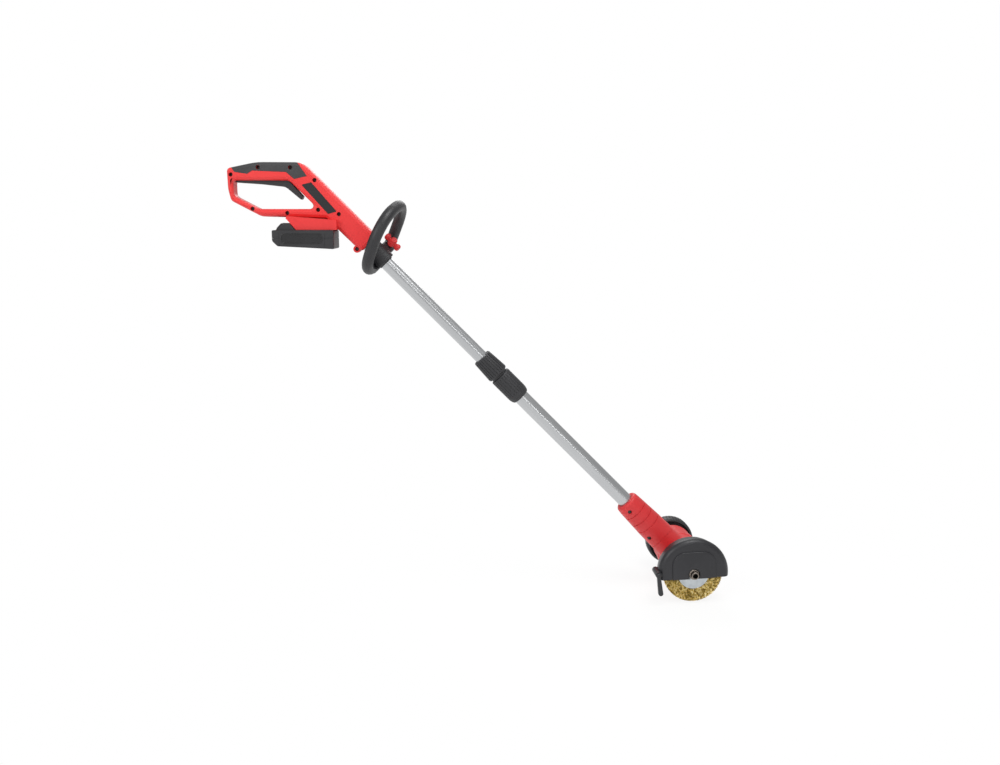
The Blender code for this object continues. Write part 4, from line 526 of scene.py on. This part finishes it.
# %% Lathe
def lathe(name, profile, sides, ring=False):
    """Pairs of radius and height, from the first ring to the last."""
    bpy.ops.object.select_all(action="DESELECT")
    radius, height = profile[0]
    bpy.ops.mesh.primitive_circle_add(
        vertices=sides, radius=radius, location=(0, 0, height), fill_type="NOTHING" if ring else "NGON"
    )
    piece = begin(name)
    edit(piece)
    bpy.ops.mesh.select_all(action="SELECT")
    steps = profile[1:] + (profile[:1] if ring else [])
    for wide, high in steps:
        bpy.ops.mesh.extrude_region_move(TRANSFORM_OT_translate={"value": (0, 0, high - height)})
        grow = wide / radius
        bpy.ops.transform.resize(value=(grow, grow, 1), center_override=(0, 0, high))
        radius, height = wide, high
    bpy.ops.mesh.select_all(action="SELECT")
    bpy.ops.mesh.remove_doubles(threshold=0.000005)
    bpy.ops.mesh.normals_make_consistent(inside=False)
    leave()
    return piece


def arc(radius, middle, start, end, steps):
    """Profile points round a quarter or any other arc, in degrees from the outward direction."""
    return [
        (
            middle[0] + radius * math.cos(math.radians(start + (end - start) * step / steps)),
            middle[1] + radius * math.sin(math.radians(start + (end - start) * step / steps)),
        )
        for step in range(steps + 1)
    ]


def carve(piece, *cutters, operation="DIFFERENCE"):
    """Cuts or joins by Boolean modifiers, applies them and clears the cutters away."""
    for cutter in cutters:
        modifier = piece.modifiers.new("cut", "BOOLEAN")
        modifier.operation = operation
        modifier.solver = "EXACT"
        modifier.object = cutter
        bpy.ops.object.select_all(action="DESELECT")
        bpy.context.view_layer.objects.active = piece
        piece.select_set(True)
        bpy.ops.object.modifier_apply(modifier=modifier.name)
        bpy.data.objects.remove(cutter, do_unlink=True)
    return piece


def block(name, low, high):
    """A box from corner to corner, to be bevelled, cut or joined."""
    bpy.ops.object.select_all(action="DESELECT")
    bpy.ops.mesh.primitive_cube_add(
        size=1.0,
        location=[(a + b) / 2 for a, b in zip(low, high)],
        scale=[b - a for a, b in zip(low, high)],
    )
    return begin(name)


print("lathe ready")

# %% [markdown]
# ## Wire brush
# The real brush is a wheel of thousands of crimped brass-plated wires, so dense that one sees a glittering
# golden ring and hardly a single wire. One wire is a thin three-sided strand pulled out in short zigzag
# steps. A tuft of such wires, each a little different, is turned round the spindle in equal steps.

# %% Crimped wires
WIRE_R = 0.00036
WIRE_START = 0.0245
WIRE_END = 0.0490
wire_low, wire_high = span("wire_brush", spindle_space)


def crimped_wire(angle, height, lag, reach):
    """Adds one wire to the open mesh. It leaves the core at an angle, with its waves shifted by lag."""
    bpy.ops.mesh.select_all(action="DESELECT")
    bpy.ops.mesh.primitive_circle_add(
        vertices=3, radius=WIRE_R, location=(WIRE_START, 0, height), rotation=(0, math.pi / 2, 0)
    )
    steps = 7
    last = (0.0, 0.0)
    for step in range(1, steps + 1):
        share = step / steps
        side = 0.00085 * math.sin(lag + step * 2.2) * min(1.0, share * 2.0)
        rise = 0.00075 * math.cos(lag * 1.7 + step * 2.4) * min(1.0, share * 2.0)
        bpy.ops.mesh.extrude_region_move(
            TRANSFORM_OT_translate={
                "value": ((reach - WIRE_START) / steps, side - last[0], rise - last[1])
            }
        )
        last = (side, rise)
    bpy.ops.mesh.edge_face_add()
    bpy.ops.mesh.select_linked()
    bpy.ops.transform.rotate(
        value=-angle, orient_axis="Z", orient_type="GLOBAL", center_override=(0, 0, 0)
    )


TUFTS = 45
WIRES_IN_TUFT = 62
bpy.ops.object.select_all(action="DESELECT")
bpy.ops.mesh.primitive_circle_add(vertices=3, radius=WIRE_R, location=(0, 0, 0))
wires = begin("brush_wires")
edit(wires)
bpy.ops.mesh.select_all(action="SELECT")
bpy.ops.mesh.delete(type="VERT")
side_room = 0.0013
for number in range(WIRES_IN_TUFT):
    golden = (number * 0.61803) % 1.0
    other = (number * 0.75488 + 0.3) % 1.0
    crimped_wire(
        math.radians(360 / TUFTS * number / WIRES_IN_TUFT),
        wire_low + side_room + golden * (wire_high - wire_low - 2 * side_room),
        other * math.tau,
        WIRE_END - 0.0011 * ((number * 0.5698) % 1.0),
    )
bpy.ops.mesh.select_all(action="SELECT")
bpy.ops.mesh.spin(
    steps=TUFTS, dupli=True, angle=math.tau, center=(0, 0, 0), axis=(0, 0, 1)
)
leave()
set_down(wires, spindle_space)
hand_over(wires, brass_wire, "brush", ("wire_brush",), 50)

# %% [markdown]
# The wires stand on a steel core between two zinc-plated discs. Each disc is dished: its rim is rolled and
# its middle is a little lower, which gives the pale ring that shows under the guard. The second disc is a
# copy of the first, turned over.

# %% Core and discs
disc_low, disc_high = span("brush_flange_outer", spindle_space)
inner_low, inner_high = span("brush_flange_inner", spindle_space)
core = lathe(
    "brush_core",
    [(0.0102, wire_low + 0.0002), (0.0249, wire_low + 0.0002), (0.0255, wire_low + 0.0012),
     (0.0255, wire_high - 0.0012), (0.0249, wire_high - 0.0002), (0.0102, wire_high - 0.0002)],
    64, ring=True,
)
set_down(core, spindle_space)
hand_over(core, steel, "brush")

DISC_R = 0.0258
disc = lathe(
    "brush_disc_outer",
    [(0.0052, disc_low), (DISC_R - 0.0006, disc_low), (DISC_R, disc_low + 0.0005),
     (DISC_R - 0.0003, disc_high), (DISC_R - 0.0022, disc_high), (DISC_R - 0.0040, disc_high - 0.0006),
     (0.0125, disc_high - 0.0006), (0.0110, disc_high), (0.0052, disc_high)],
    96, ring=True,
)
inner_disc = copy_of(disc, "brush_disc_inner")
edit(inner_disc)
bpy.ops.mesh.select_all(action="SELECT")
bpy.ops.transform.resize(value=(1, 1, -1), center_override=(0, 0, (disc_low + disc_high) / 2))
bpy.ops.transform.translate(value=(0, 0, (inner_low + inner_high - disc_low - disc_high) / 2))
leave()
set_down(disc, spindle_space)
hand_over(disc, zinc, "brush", ("brush_flange_outer",))
set_down(inner_disc, spindle_space)
hand_over(inner_disc, zinc, "brush", ("brush_flange_inner",))

# %% [markdown]
# The brush is held by a socket nut: a broad foot that presses on the disc, and a narrow barrel with a
# deep hole for a key, painted near-black for the shade inside it. The barrel comes out through the notch of
# the guard.

# %% Socket nut
def steel_with_painted_hole_shade(name):
    """Brown-grey steel, painted near-black near the spindle's line as the shade inside the key hole."""
    tree = Tree(name)
    line = tree.noise(700.0, 3.0)
    apart = tree.node("ShaderNodeSeparateXYZ", Vector=tree.place())
    east = Value(tree, apart.socket.node.outputs[0]) - SPINDLE_SPOT.x
    high = Value(tree, apart.socket.node.outputs[2]) - SPINDLE_SPOT.z
    out = tree.maths("SQRT", east * east + high * high)
    # painted shade: inside the key hole the colour goes near-black and the roughness rises
    painted_hole_shade = 1.0 - tree.ramp(out, 0.0040, 0.0046)
    colour = tree.mix(tree.ramp(line, 0.3, 0.7), (0.16, 0.13, 0.11, 1), (0.34, 0.30, 0.26, 1))
    return tree.finish(
        Base_Color=tree.mix(painted_hole_shade, colour, (0.008, 0.007, 0.006, 1)),
        Metallic=1.0,
        Roughness=0.30 + painted_hole_shade * 0.3 + tree.ramp(line, 0.3, 0.7) * 0.1,
        Normal=tree.bump(line, 0.00003, 0.4),
    )


nut_steel = steel_with_painted_hole_shade("steel_with_painted_hole_shade")
nut_low, nut_high = span("brush_nut", spindle_space)
socket_nut = lathe(
    "socket_nut",
    [(0.0036, nut_high - 0.0044), (0.0039, nut_high - 0.0006), (0.0044, nut_high),
     (0.0057, nut_high), (0.0063, nut_high - 0.0009), (0.0063, nut_low + 0.0054),
     (0.0066, nut_low + 0.0047), (0.0080, nut_low + 0.0042), (0.0088, nut_low + 0.0034),
     (0.0090, nut_low + 0.0006), (0.0086, nut_low), (0.0043, nut_low), (0.0043, nut_high - 0.0047)],
    60,
)
set_down(socket_nut, spindle_space)
hand_over(socket_nut, nut_steel, "brush", ("brush_nut",))

# %% [markdown]
# ## Guard
# The guard is a half-round cover, moulded in one: a face, a wide soft bend, a rim that tapers to the back,
# and a raised plateau like a rounded doorway. The lathe gives the cover, a bisect takes away its lower half,
# and two Booleans add the plateau and cut the notch for the nut.

# %% Picking faces and edges by place
import bmesh


def pick(piece, test, kind="FACE"):
    """Selects, in edit mode, the faces or edges whose middle and direction pass a test."""
    bpy.ops.mesh.select_mode(type=kind)
    bpy.ops.mesh.select_all(action="DESELECT")
    shape = bmesh.from_edit_mesh(piece.data)
    count = 0
    for item in shape.faces if kind == "FACE" else shape.edges:
        if kind == "FACE":
            chosen = test(item.calc_center_median(), item.normal)
        else:
            start, end = (vertex.co for vertex in item.verts)
            chosen = test((start + end) / 2, (end - start).normalized())
        item.select_set(bool(chosen))
        count += bool(chosen)
    bmesh.update_edit_mesh(piece.data)
    return count


def soften(piece, width, steps, test):
    """Bevels the picked edges."""
    edit(piece)
    count = pick(piece, test, "EDGE")
    if count:
        bpy.ops.mesh.bevel(offset=width, segments=steps, affect="EDGES", clamp_overlap=True)
    leave()
    return count


print("picking ready")

# %% Guard cover
GUARD_R = 0.05842
GUARD_BACK_R = 0.0550
WALL = 0.003
FACE_AT = 0.088
BACK_AT = 0.060
DROP = 0.007
BEND = 0.009
cover = lathe(
    "guard_cover",
    [(0.004, FACE_AT)]
    + arc(BEND, (GUARD_R - BEND, FACE_AT - BEND), 90, 0, 8)
    + [(GUARD_BACK_R, BACK_AT + 0.0006), (GUARD_BACK_R - 0.0006, BACK_AT), (0.0164, BACK_AT),
       (0.0164, BACK_AT + 0.0045), (0.0205, BACK_AT + 0.0045), (0.0205, BACK_AT + 0.0025),
       (GUARD_BACK_R - WALL, BACK_AT + 0.0025)]
    + arc(BEND - WALL, (GUARD_R - BEND, FACE_AT - BEND), 0, 90, 6)
    + [(0.004, FACE_AT - WALL)],
    128,
)
edit(cover)
bpy.ops.mesh.select_all(action="SELECT")
bpy.ops.mesh.bisect(plane_co=(0, -DROP, 0), plane_no=(0, -1, 0), use_fill=True, clear_outer=True)
leave()

DOOR_HALF = 0.0355
DOOR_TOP = 0.0385
door = block("guard_door", (-DOOR_HALF, -DROP, FACE_AT - 0.0015), (DOOR_HALF, DOOR_TOP, FACE_AT + 0.0019))
set_down(door, AS_IT_STANDS)
soften(door, 0.0210, 12, lambda at, way: abs(way.z) > 0.9 and at.y > 0)
soften(door, 0.0012, 3, lambda at, way: abs(way.z) < 0.1 and at.z > FACE_AT and at.y > -DROP + 0.0005)
ear = lathe(
    "guard_ear",
    [(0.0044, 0.0662), (0.0052, 0.0670), (0.0052, FACE_AT - 0.0010), (0.0044, FACE_AT)], 32
)
ear.matrix_world = Matrix.Translation((-GUARD_R - 0.0010, 0.0045, 0)) @ ear.matrix_world
carve(cover, door, ear, operation="UNION")
inside_of_rim = lathe(
    "inside_of_rim",
    [(0.004, FACE_AT - WALL), (GUARD_R - BEND, FACE_AT - WALL - 0.0002),
     (GUARD_R - WALL - 0.0004, FACE_AT - BEND), (GUARD_BACK_R - WALL - 0.0002, BACK_AT + 0.0046),
     (0.0206, BACK_AT + 0.0046)],
    128,
)
notch = lathe("guard_notch", [(0.0096, FACE_AT - 0.010), (0.0096, 0.1)], 40)
carve(cover, inside_of_rim, notch)
set_down(cover, guard_space)
hand_over(cover, guard_black, "guard", ("guard",), 28)

# %% [markdown]
# ## Guide wheel
# The wheel is a deep dish of black plastic with a rim as wide as two fingers. Its tread has fine cross
# grooves: every third strip of the tread is inset a little and pushed in.

# %% Wheel
wheel_low, wheel_high = span("guide_wheel", spindle_space)
WHEEL_R = 0.042
wheel = lathe(
    "ribbed_wheel",
    [(0.0056, wheel_low + 0.0020), (0.0105, wheel_low + 0.0020), (0.0112, wheel_low + 0.0030),
     (0.0118, wheel_low + 0.0090), (0.0340, wheel_low + 0.0100), (0.0362, wheel_low + 0.0085),
     (0.0372, wheel_low + 0.0012), (0.0380, wheel_low), (0.0398, wheel_low + 0.0006),
     (0.0412, wheel_low + 0.0022), (WHEEL_R, wheel_low + 0.0050), (WHEEL_R, wheel_high - 0.0050),
     (0.0412, wheel_high - 0.0022), (0.0398, wheel_high - 0.0006), (0.0380, wheel_high),
     (0.0372, wheel_high - 0.0012), (0.0362, wheel_high - 0.0105), (0.0345, wheel_high - 0.0118),
     (0.0118, wheel_high - 0.0118), (0.0112, wheel_high - 0.0030), (0.0105, wheel_high - 0.0010),
     (0.0056, wheel_high - 0.0010)],
    144, ring=True,
)
edit(wheel)


def groove_of_tread(at, way):
    strip = round(math.degrees(math.atan2(at.y, at.x)) % 360 / 2.5 - 0.5)
    return math.hypot(at.x, at.y) > 0.0404 and strip % 3 == 0


grooves = pick(wheel, groove_of_tread)
bpy.ops.mesh.inset(thickness=0.0002, depth=-0.0008, use_boundary=True)
leave()
print("tread grooves", grooves // 3)
set_down(wheel, spindle_space)
hand_over(wheel, black_plastic, "wheel", ("guide_wheel",), 28)

# %% [markdown]
# ## Tubes
# Two drawn tubes slide in each other. Both are long rings from the lathe, with a small rounding at their
# ends. Ninety-six sides keep the bright streak along them straight.

# %% Upper and lower tube
def drawn_pipe(name, node, outer, inner, body):
    low, high = span(node, pole_space)
    pipe = lathe(
        name,
        [(inner, low), (outer - 0.0003, low), (outer, low + 0.0003), (outer, high - 0.0003),
         (outer - 0.0003, high), (inner, high)],
        96, ring=True,
    )
    set_down(pipe, pole_space)
    return hand_over(pipe, aluminium, body, (node,))


drawn_pipe("upper_pipe", "upper_tube", 0.0110, 0.0098, "handle")
drawn_pipe("lower_pipe", "lower_tube", 0.0125, 0.0113, "lower_pole")

# %% [markdown]
# ## Bail
# The bail is a thick closed loop that leans back from the pole, on a clamp that is split and bolted. The
# loop's line is one closed polygon curve with round corners. A round bevel gives it its thickness, and it
# becomes a mesh before the clamp is joined to it.

# %% Bail and clamp
BAIL_TURN = math.radians(-30)
BAIL_LEAN = math.radians(21)
bail_space = pole_space @ Matrix.Rotation(BAIL_TURN, 4, "Z")


def rounded_loop(corners, bend, steps):
    """The points of a closed outline with each corner turned to an arc."""
    points = []
    count = len(corners)
    for number, corner in enumerate(corners):
        here = Vector(corner)
        back = (Vector(corners[number - 1]) - here).normalized()
        ahead = (Vector(corners[(number + 1) % count]) - here).normalized()
        half = math.acos(max(-1, min(1, back.dot(ahead)))) / 2
        near = min(
            (Vector(corners[number - 1]) - here).length * 0.45,
            (Vector(corners[(number + 1) % count]) - here).length * 0.45,
            bend / math.tan(half),
        )
        radius = near * math.tan(half)
        middle = here + (back + ahead).normalized() * radius / math.sin(half)
        start = here + back * near - middle
        end = here + ahead * near - middle
        first = math.atan2(start.y, start.x)
        turn = (math.atan2(end.y, end.x) - first + math.pi) % math.tau - math.pi
        for step in range(steps + 1):
            angle = first + turn * step / steps
            points.append(middle + radius * Vector((math.cos(angle), math.sin(angle))))
    return points


outline = rounded_loop([(-0.045, -0.021), (0.045, -0.021), (0.053, 0.086), (-0.053, 0.086)], 0.044, 14)
bpy.ops.object.select_all(action="DESELECT")
bpy.ops.curve.primitive_nurbs_path_add(location=(0, 0, 0))
loop = begin("bail_bar")
loop.data.splines.clear()
line = loop.data.splines.new("POLY")
line.points.add(len(outline) - 1)
for point, (across, height) in zip(line.points, outline):
    point.co = (height * math.cos(BAIL_LEAN), across, height * math.sin(BAIL_LEAN) - 0.0215, 1)
line.use_cyclic_u = True
loop.data.dimensions = "3D"
loop.data.bevel_depth = 0.0090
loop.data.bevel_resolution = 6
bpy.ops.object.convert(target="MESH")

CLAMP_OUT = 0.0165
BOLT_Y = 0.0201
collar = lathe(
    "clamp_collar",
    [(CLAMP_OUT - 0.0012, -0.0380), (CLAMP_OUT, -0.0368), (CLAMP_OUT, -0.0052),
     (CLAMP_OUT - 0.0012, -0.0040)],
    64,
)
ear_block = block("clamp_ears", (-0.0150, 0.004, -0.0330), (0.0150, 0.0276, -0.0130))
chin = block("clamp_chin", (-0.0285, -0.0125, -0.0380), (-0.0070, 0.0065, -0.0230))
web = block("clamp_web", (-0.0210, -0.030, -0.0280), (-0.0070, 0.030, -0.0225))
for lump, width in ((ear_block, 0.0040), (chin, 0.0050), (web, 0.0022)):
    set_down(lump, AS_IT_STANDS)
    soften(lump, width, 4, lambda at, way: True)
bore = lathe("clamp_bore", [(0.0126, -0.08), (0.0126, 0.05)], 64)
slit = block("clamp_slit", (-0.0012, 0.008, -0.06), (0.0012, 0.04, 0.01))
set_down(slit, AS_IT_STANDS)
bolt_way = lathe("bolt_way", [(0.0033, -0.05), (0.0033, 0.05)], 24)
bolt_way.matrix_world = (
    Matrix.Translation((0, BOLT_Y, -0.023)) @ Matrix.Rotation(math.pi / 2, 4, "Y") @ bolt_way.matrix_world
)
set_down(bolt_way, AS_IT_STANDS)
carve(loop, collar, ear_block, chin, web, operation="UNION")
carve(loop, bore, slit, bolt_way)
set_down(loop, bail_space)
hand_over(loop, black_plastic, "bail", ("bail_loop",), 40)

# %% [markdown]
# ## Twist nut and collar
# Both are cones from the lathe. Lengthwise grooves give the fingers their hold: on the nut every third
# strip of the side is inset and pushed in, and on the collar the strips are finer.

# %% Nut and collar
def groove_sides(piece, sides, every, low, high, thickness, depth):
    """Pushes in every so many lengthwise strips between two heights."""
    edit(piece)
    step = 360.0 / sides
    base = piece.location.z
    count = pick(
        piece,
        lambda at, way: low < at.z + base < high
        and abs(way.z) < 0.3
        and math.hypot(at.x, at.y) > 0.0150
        and int(math.degrees(math.atan2(at.y, at.x)) % 360 / step) % every == 0,
    )
    bpy.ops.mesh.inset(thickness=thickness, depth=depth, use_individual=True)
    leave()
    return count


nut = lathe(
    "ribbed_nut",
    [(0.0113, -0.2592), (0.0113, -0.2553), (0.0148, -0.2550), (0.0156, -0.2555), (0.0160, -0.2570),
     (0.0182, -0.2905), (0.0181, -0.2925), (0.0170, -0.2940), (0.0152, -0.2944), (0.0148, -0.2945),
     (0.0148, -0.2780), (0.0140, -0.2612)],
    72, ring=True,
)
grooves = groove_sides(nut, 72, 3, -0.2905, -0.2570, 0.00025, -0.0007)
set_down(nut, pole_space)
hand_over(nut, black_plastic, "nut", ("twist_nut",), 30)

collar_piece = lathe(
    "ribbed_collar",
    [(0.0116, -0.2795), (0.0145, -0.2795), (0.0145, -0.2970), (0.0160, -0.2974), (0.0172, -0.2982),
     (0.0177, -0.2998), (0.0177, -0.3360), (0.0174, -0.3400), (0.0165, -0.3440), (0.0150, -0.3468),
     (0.0141, -0.3473), (0.0128, -0.3473), (0.0128, -0.3000), (0.0116, -0.2997)],
    96, ring=True,
)
groove_sides(collar_piece, 96, 4, -0.3360, -0.2998, 0.0002, -0.0004)
set_down(collar_piece, pole_space)
hand_over(collar_piece, black_plastic, "lower_pole", ("pole_collar",), 30)
print("grooves of the nut", grooves)

# %% [markdown]
# ## Power lead
# The lead inside the pole is coiled in the real tool, so that it can follow the sliding tube. Here it is a
# soft strand with fine ribs, and the share of its length left at the pole's full travel is worked out and
# printed.

# %% Lead
lead_low, lead_high = span("power_lead", pole_space)
lead_from, lead_to = span("power_lead", pole_space, 0)
LEAD_X = (lead_from + lead_to) / 2
LEAD_RINGS = 240
lead_run = lead_high - lead_low - 0.0020
lead = lathe(
    "coiled_lead",
    [(0.0018, lead_low), (0.0022, lead_low + 0.0004)]
    + [
        (0.00245 if step % 2 == 0 else 0.00175, lead_low + 0.0010 + lead_run * step / LEAD_RINGS)
        for step in range(LEAD_RINGS + 1)
    ]
    + [(0.0022, lead_high - 0.0004), (0.0018, lead_high)],
    16,
)
lead.matrix_world = Matrix.Translation((LEAD_X, 0, 0)) @ lead.matrix_world
set_down(lead, pole_space)
hand_over(lead, plate_black, "handle", ("power_lead",), 40)
pole_travel = next(joint for joint in frame["joints"] if joint["name"] == "pole_slide")["range_m"][1]
kept = 1.0 - pole_travel / (lead_high - lead_low)
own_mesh(lead)
print("lead keeps", round(kept, 3), "of its length")

# %% [markdown]
# ## Head
# The head is two red half shells that meet in the middle plane. Their outside is a barrel across the tool
# and a neck up the pole, with a soft blend between. Lathe pieces are joined, a fine voxel remesh and a
# smoothing turn the sharp join into that blend, and then the grooves, the hollows and the screw holes are
# cut crisply. The halves are one shape bisected twice.

# %% Outside of the head
def melt(piece, grain, rounds):
    """Remeshes a joined piece in small cubes and smooths it, so that its sharp joins turn soft."""
    voxels = piece.modifiers.new("voxels", "REMESH")
    voxels.mode = "VOXEL"
    voxels.voxel_size = grain
    bpy.ops.object.modifier_apply(modifier=voxels.name)
    ease = piece.modifiers.new("ease", "SMOOTH")
    ease.factor = 0.5
    ease.iterations = rounds
    bpy.ops.object.modifier_apply(modifier=ease.name)


barrel = lathe(
    "head_outside",
    [(0.0250, -0.0610), (0.0315, -0.0610), (0.0336, -0.0602), (0.0345, -0.0585), (0.0345, -0.0310),
     (0.0360, -0.0285), (0.0360, -0.0120), (0.0348, -0.0095), (0.0348, 0.0270), (0.0352, 0.0295),
     (0.0372, 0.0318), (0.0372, 0.0530), (0.0362, 0.0560), (0.0340, 0.0578), (0.0300, 0.0580)],
    96,
)
set_down(barrel, spindle_space)
neck_body = lathe(
    "neck_body",
    [(0.0170, 0.1400), (0.0192, 0.1388), (0.0203, 0.1360), (0.0211, 0.1280), (0.0235, 0.0800),
     (0.0240, 0.0550), (0.0247, 0.0150), (0.0200, 0.0100)],
    96,
)
set_down(neck_body, neck_space)
nose = lathe("head_nose", [(0.0150, 0.0500), (0.0160, 0.0510), (0.0160, 0.0655), (0.0155, 0.0660)], 64)
set_down(nose, spindle_space)
carve(barrel, neck_body, nose, operation="UNION")
melt(barrel, 0.0010, 5)
print("head outside", len(barrel.data.polygons), "faces")

# %% Grooves and hollows of the head
def neck_groove(height):
    out = 0.0211 + (0.0235 - 0.0211) * (0.1280 - height) / 0.048
    ring = lathe(
        "neck_groove",
        [(out + 0.004, height + 0.0016), (out - 0.0011, height + 0.0003),
         (out - 0.0011, height - 0.0003), (out + 0.004, height - 0.0016)],
        96, ring=True,
    )
    return set_down(ring, neck_space)


def screw_hole(along, out):
    x = -along * math.cos(POLE_TILT) + out * math.sin(POLE_TILT)
    z = along * math.sin(POLE_TILT) + out * math.cos(POLE_TILT)
    hole = lathe("screw_hole", [(0.0017, -0.0135), (0.0017, 0.0157), (0.0034, 0.0157), (0.0034, 0.04)], 24)
    hole.matrix_world = Matrix.Translation((x, z, 0)) @ hole.matrix_world
    return set_down(hole, spindle_space)


shoulder_line = lathe(
    "shoulder_line",
    [(0.0534, -0.0600), (0.0534, 0.0600), (0.0548, 0.0600), (0.0548, -0.0600)],
    128, ring=True,
)
set_down(shoulder_line, spindle_space)
below_skin = lathe("below_skin", [(0.0227, 0.1400), (0.0236, 0.0150), (0.0100, 0.0000)], 96)
set_down(below_skin, neck_space)
carve(shoulder_line, below_skin)
gear_room = lathe(
    "gear_room",
    [(0.0050, -0.0705), (0.0053, -0.0700), (0.0053, -0.0530), (0.0223, -0.0530), (0.0223, -0.0400),
     (0.0325, -0.0400), (0.0325, 0.0385), (0.0134, 0.0385), (0.0134, 0.0580), (0.0060, 0.0580),
     (0.0060, 0.0720)],
    64,
)
set_down(gear_room, spindle_space)
tube_room = lathe("tube_room", [(0.0105, 0.010), (0.0105, 0.0757), (0.0129, 0.0757), (0.0129, 0.16)], 64)
set_down(tube_room, neck_space)
carve(
    barrel, neck_groove(0.1160), neck_groove(0.1000), neck_groove(0.0840),
    screw_hole(0.1270, -0.0070), screw_hole(0.0690, -0.0155), shoulder_line, gear_room, tube_room,
)
print("head with its hollows", len(barrel.data.polygons), "faces")

# %% Two halves of the head
PARTING = 0.00004
left_half = copy_of(barrel, "head_half_left")
barrel.name = "head_half_right"
for half, side, node in ((barrel, -1, "head_shell_right"), (left_half, 1, "head_shell_left")):
    edit(half)
    bpy.ops.mesh.select_all(action="SELECT")
    bpy.ops.mesh.bisect(
        plane_co=(0, side * PARTING, 0), plane_no=(0, -side, 0), use_fill=True, clear_outer=True
    )
    leave()
    hand_over(half, head_red, "lower_pole", (node,), 35)

# %% [markdown]
# ## Wing knob
# The knob that locks the bail is one red moulding: a slim hub over the bolt and two rounded wings. Lathe
# pieces are joined, a fine voxel remesh melts them together, and the bolt's way is cut afterwards. Its
# axis is taken from the knob's joint, and its wings point the way the model's wings point.

# %% Knob
knob_joint = next(joint for joint in frame["joints"] if joint["name"] == "knob_turn")
knob_axis = Vector(knob_joint["axis"]).normalized()
knob_spot = Vector(knob_joint["pos_m"])
model_knob = frame["nodes"]["bail_knob"]
reach = [model_knob.matrix_world @ vertex.co - knob_spot for vertex in model_knob.data.vertices]
flat = [arm - knob_axis * arm.dot(knob_axis) for arm in reach]
knob_x = max(flat, key=lambda arm: arm.length).normalized()
knob_y = knob_axis.cross(knob_x)
knob_space = Matrix((knob_x, knob_y, knob_axis)).transposed().to_4x4()
knob_space.translation = knob_spot

knob = lathe(
    "wing_knob",
    [(0.0046, 0.0003), (0.0054, 0.0010), (0.0054, 0.0130), (0.0048, 0.0146), (0.0034, 0.0153)], 32,
)
web = block("knob_web", (-0.0110, -0.0024, 0.0035), (0.0110, 0.0024, 0.0105))
lobes = []
for side in (-1, 1):
    lobe = lathe(
        "knob_lobe",
        [(0.0022, 0.0022), (0.0036, 0.0030), (0.0043, 0.0050), (0.0043, 0.0100), (0.0036, 0.0122),
         (0.0020, 0.0130)],
        24,
    )
    lobe.matrix_world = Matrix.Translation((side * 0.0113, 0, 0)) @ lobe.matrix_world
    set_down(lobe, AS_IT_STANDS)
    lobes.append(lobe)
carve(knob, web, *lobes, operation="UNION")
melt(knob, 0.0005, 6)
carve(knob, lathe("bolt_way", [(0.0033, -0.0100), (0.0033, 0.0142)], 32))
set_down(knob, knob_space)
hand_over(knob, head_red, "knob", ("bail_knob",), 40)

# %% [markdown]
# ## Panels of the pack
# Each side of the battery pack carries a long oval frame round a bare recess. The box is bevelled at its
# four corners until its ends are round, and its outer face is inset and pushed in.

# %% Side panels
PANEL_X = (0.0265, 0.0908)
PANEL_Z = (-0.1112, -0.0950)
pack_side = max(
    (frame["nodes"]["battery_case_top"].matrix_world @ vertex.co).y
    for vertex in frame["nodes"]["battery_case_top"].data.vertices
)
for side, word in ((-1, "right"), (1, "left")):
    inner, outer = sorted((side * (pack_side - 0.0006), side * (pack_side + 0.0006)))
    panel = block("pack_panel_" + word, (PANEL_X[0], inner, PANEL_Z[0]), (PANEL_X[1], outer, PANEL_Z[1]))
    set_down(panel, AS_IT_STANDS)
    edit(panel)
    pick(panel, lambda middle, way: abs(way.y) > 0.9, "EDGE")
    bpy.ops.mesh.bevel(offset=0.0068, segments=8, affect="EDGES")
    pick(panel, lambda at, way: way.y * side > 0.9)
    bpy.ops.mesh.inset(thickness=0.0012, depth=0.0)
    bpy.ops.mesh.inset(thickness=0.0003, depth=-0.0005)
    leave()
    soften(panel, 0.0002, 2, lambda middle, way: abs(middle.y) > pack_side + 0.0005)
    hand_over(panel, plate_black, "battery", (), 40)
print("panels beside the pack at", round(pack_side, 4))

# %% [markdown]
# Two narrow dark seams mark off the rear end and the front end of the pack, and a red web closes the
# wedge between the lower bar of the handle and the foot that holds the pack.

# %% Seams and web
for name, x in (("pack_seam_rear", 0.0236), ("pack_seam_front", 0.0930)):
    seam = block(name, (x, -pack_side - 0.0001, -0.1150), (x + 0.0008, pack_side + 0.0001, -0.0945))
    set_down(seam, AS_IT_STANDS)
    soften(seam, 0.00008, 2, lambda middle, way: True)
    hand_over(seam, seam_black, "battery", (), 40)

web_red = block("foot_web", (0.0560, -0.0090, -0.0760), (0.1040, 0.0090, -0.0680))
set_down(web_red, AS_IT_STANDS)
soften(web_red, 0.0012, 3, lambda middle, way: True)
hand_over(web_red, red_shell, "handle", (), 40)

# %% [markdown]
# Last, the script says that it has finished.

# %% Finish
print("finished")
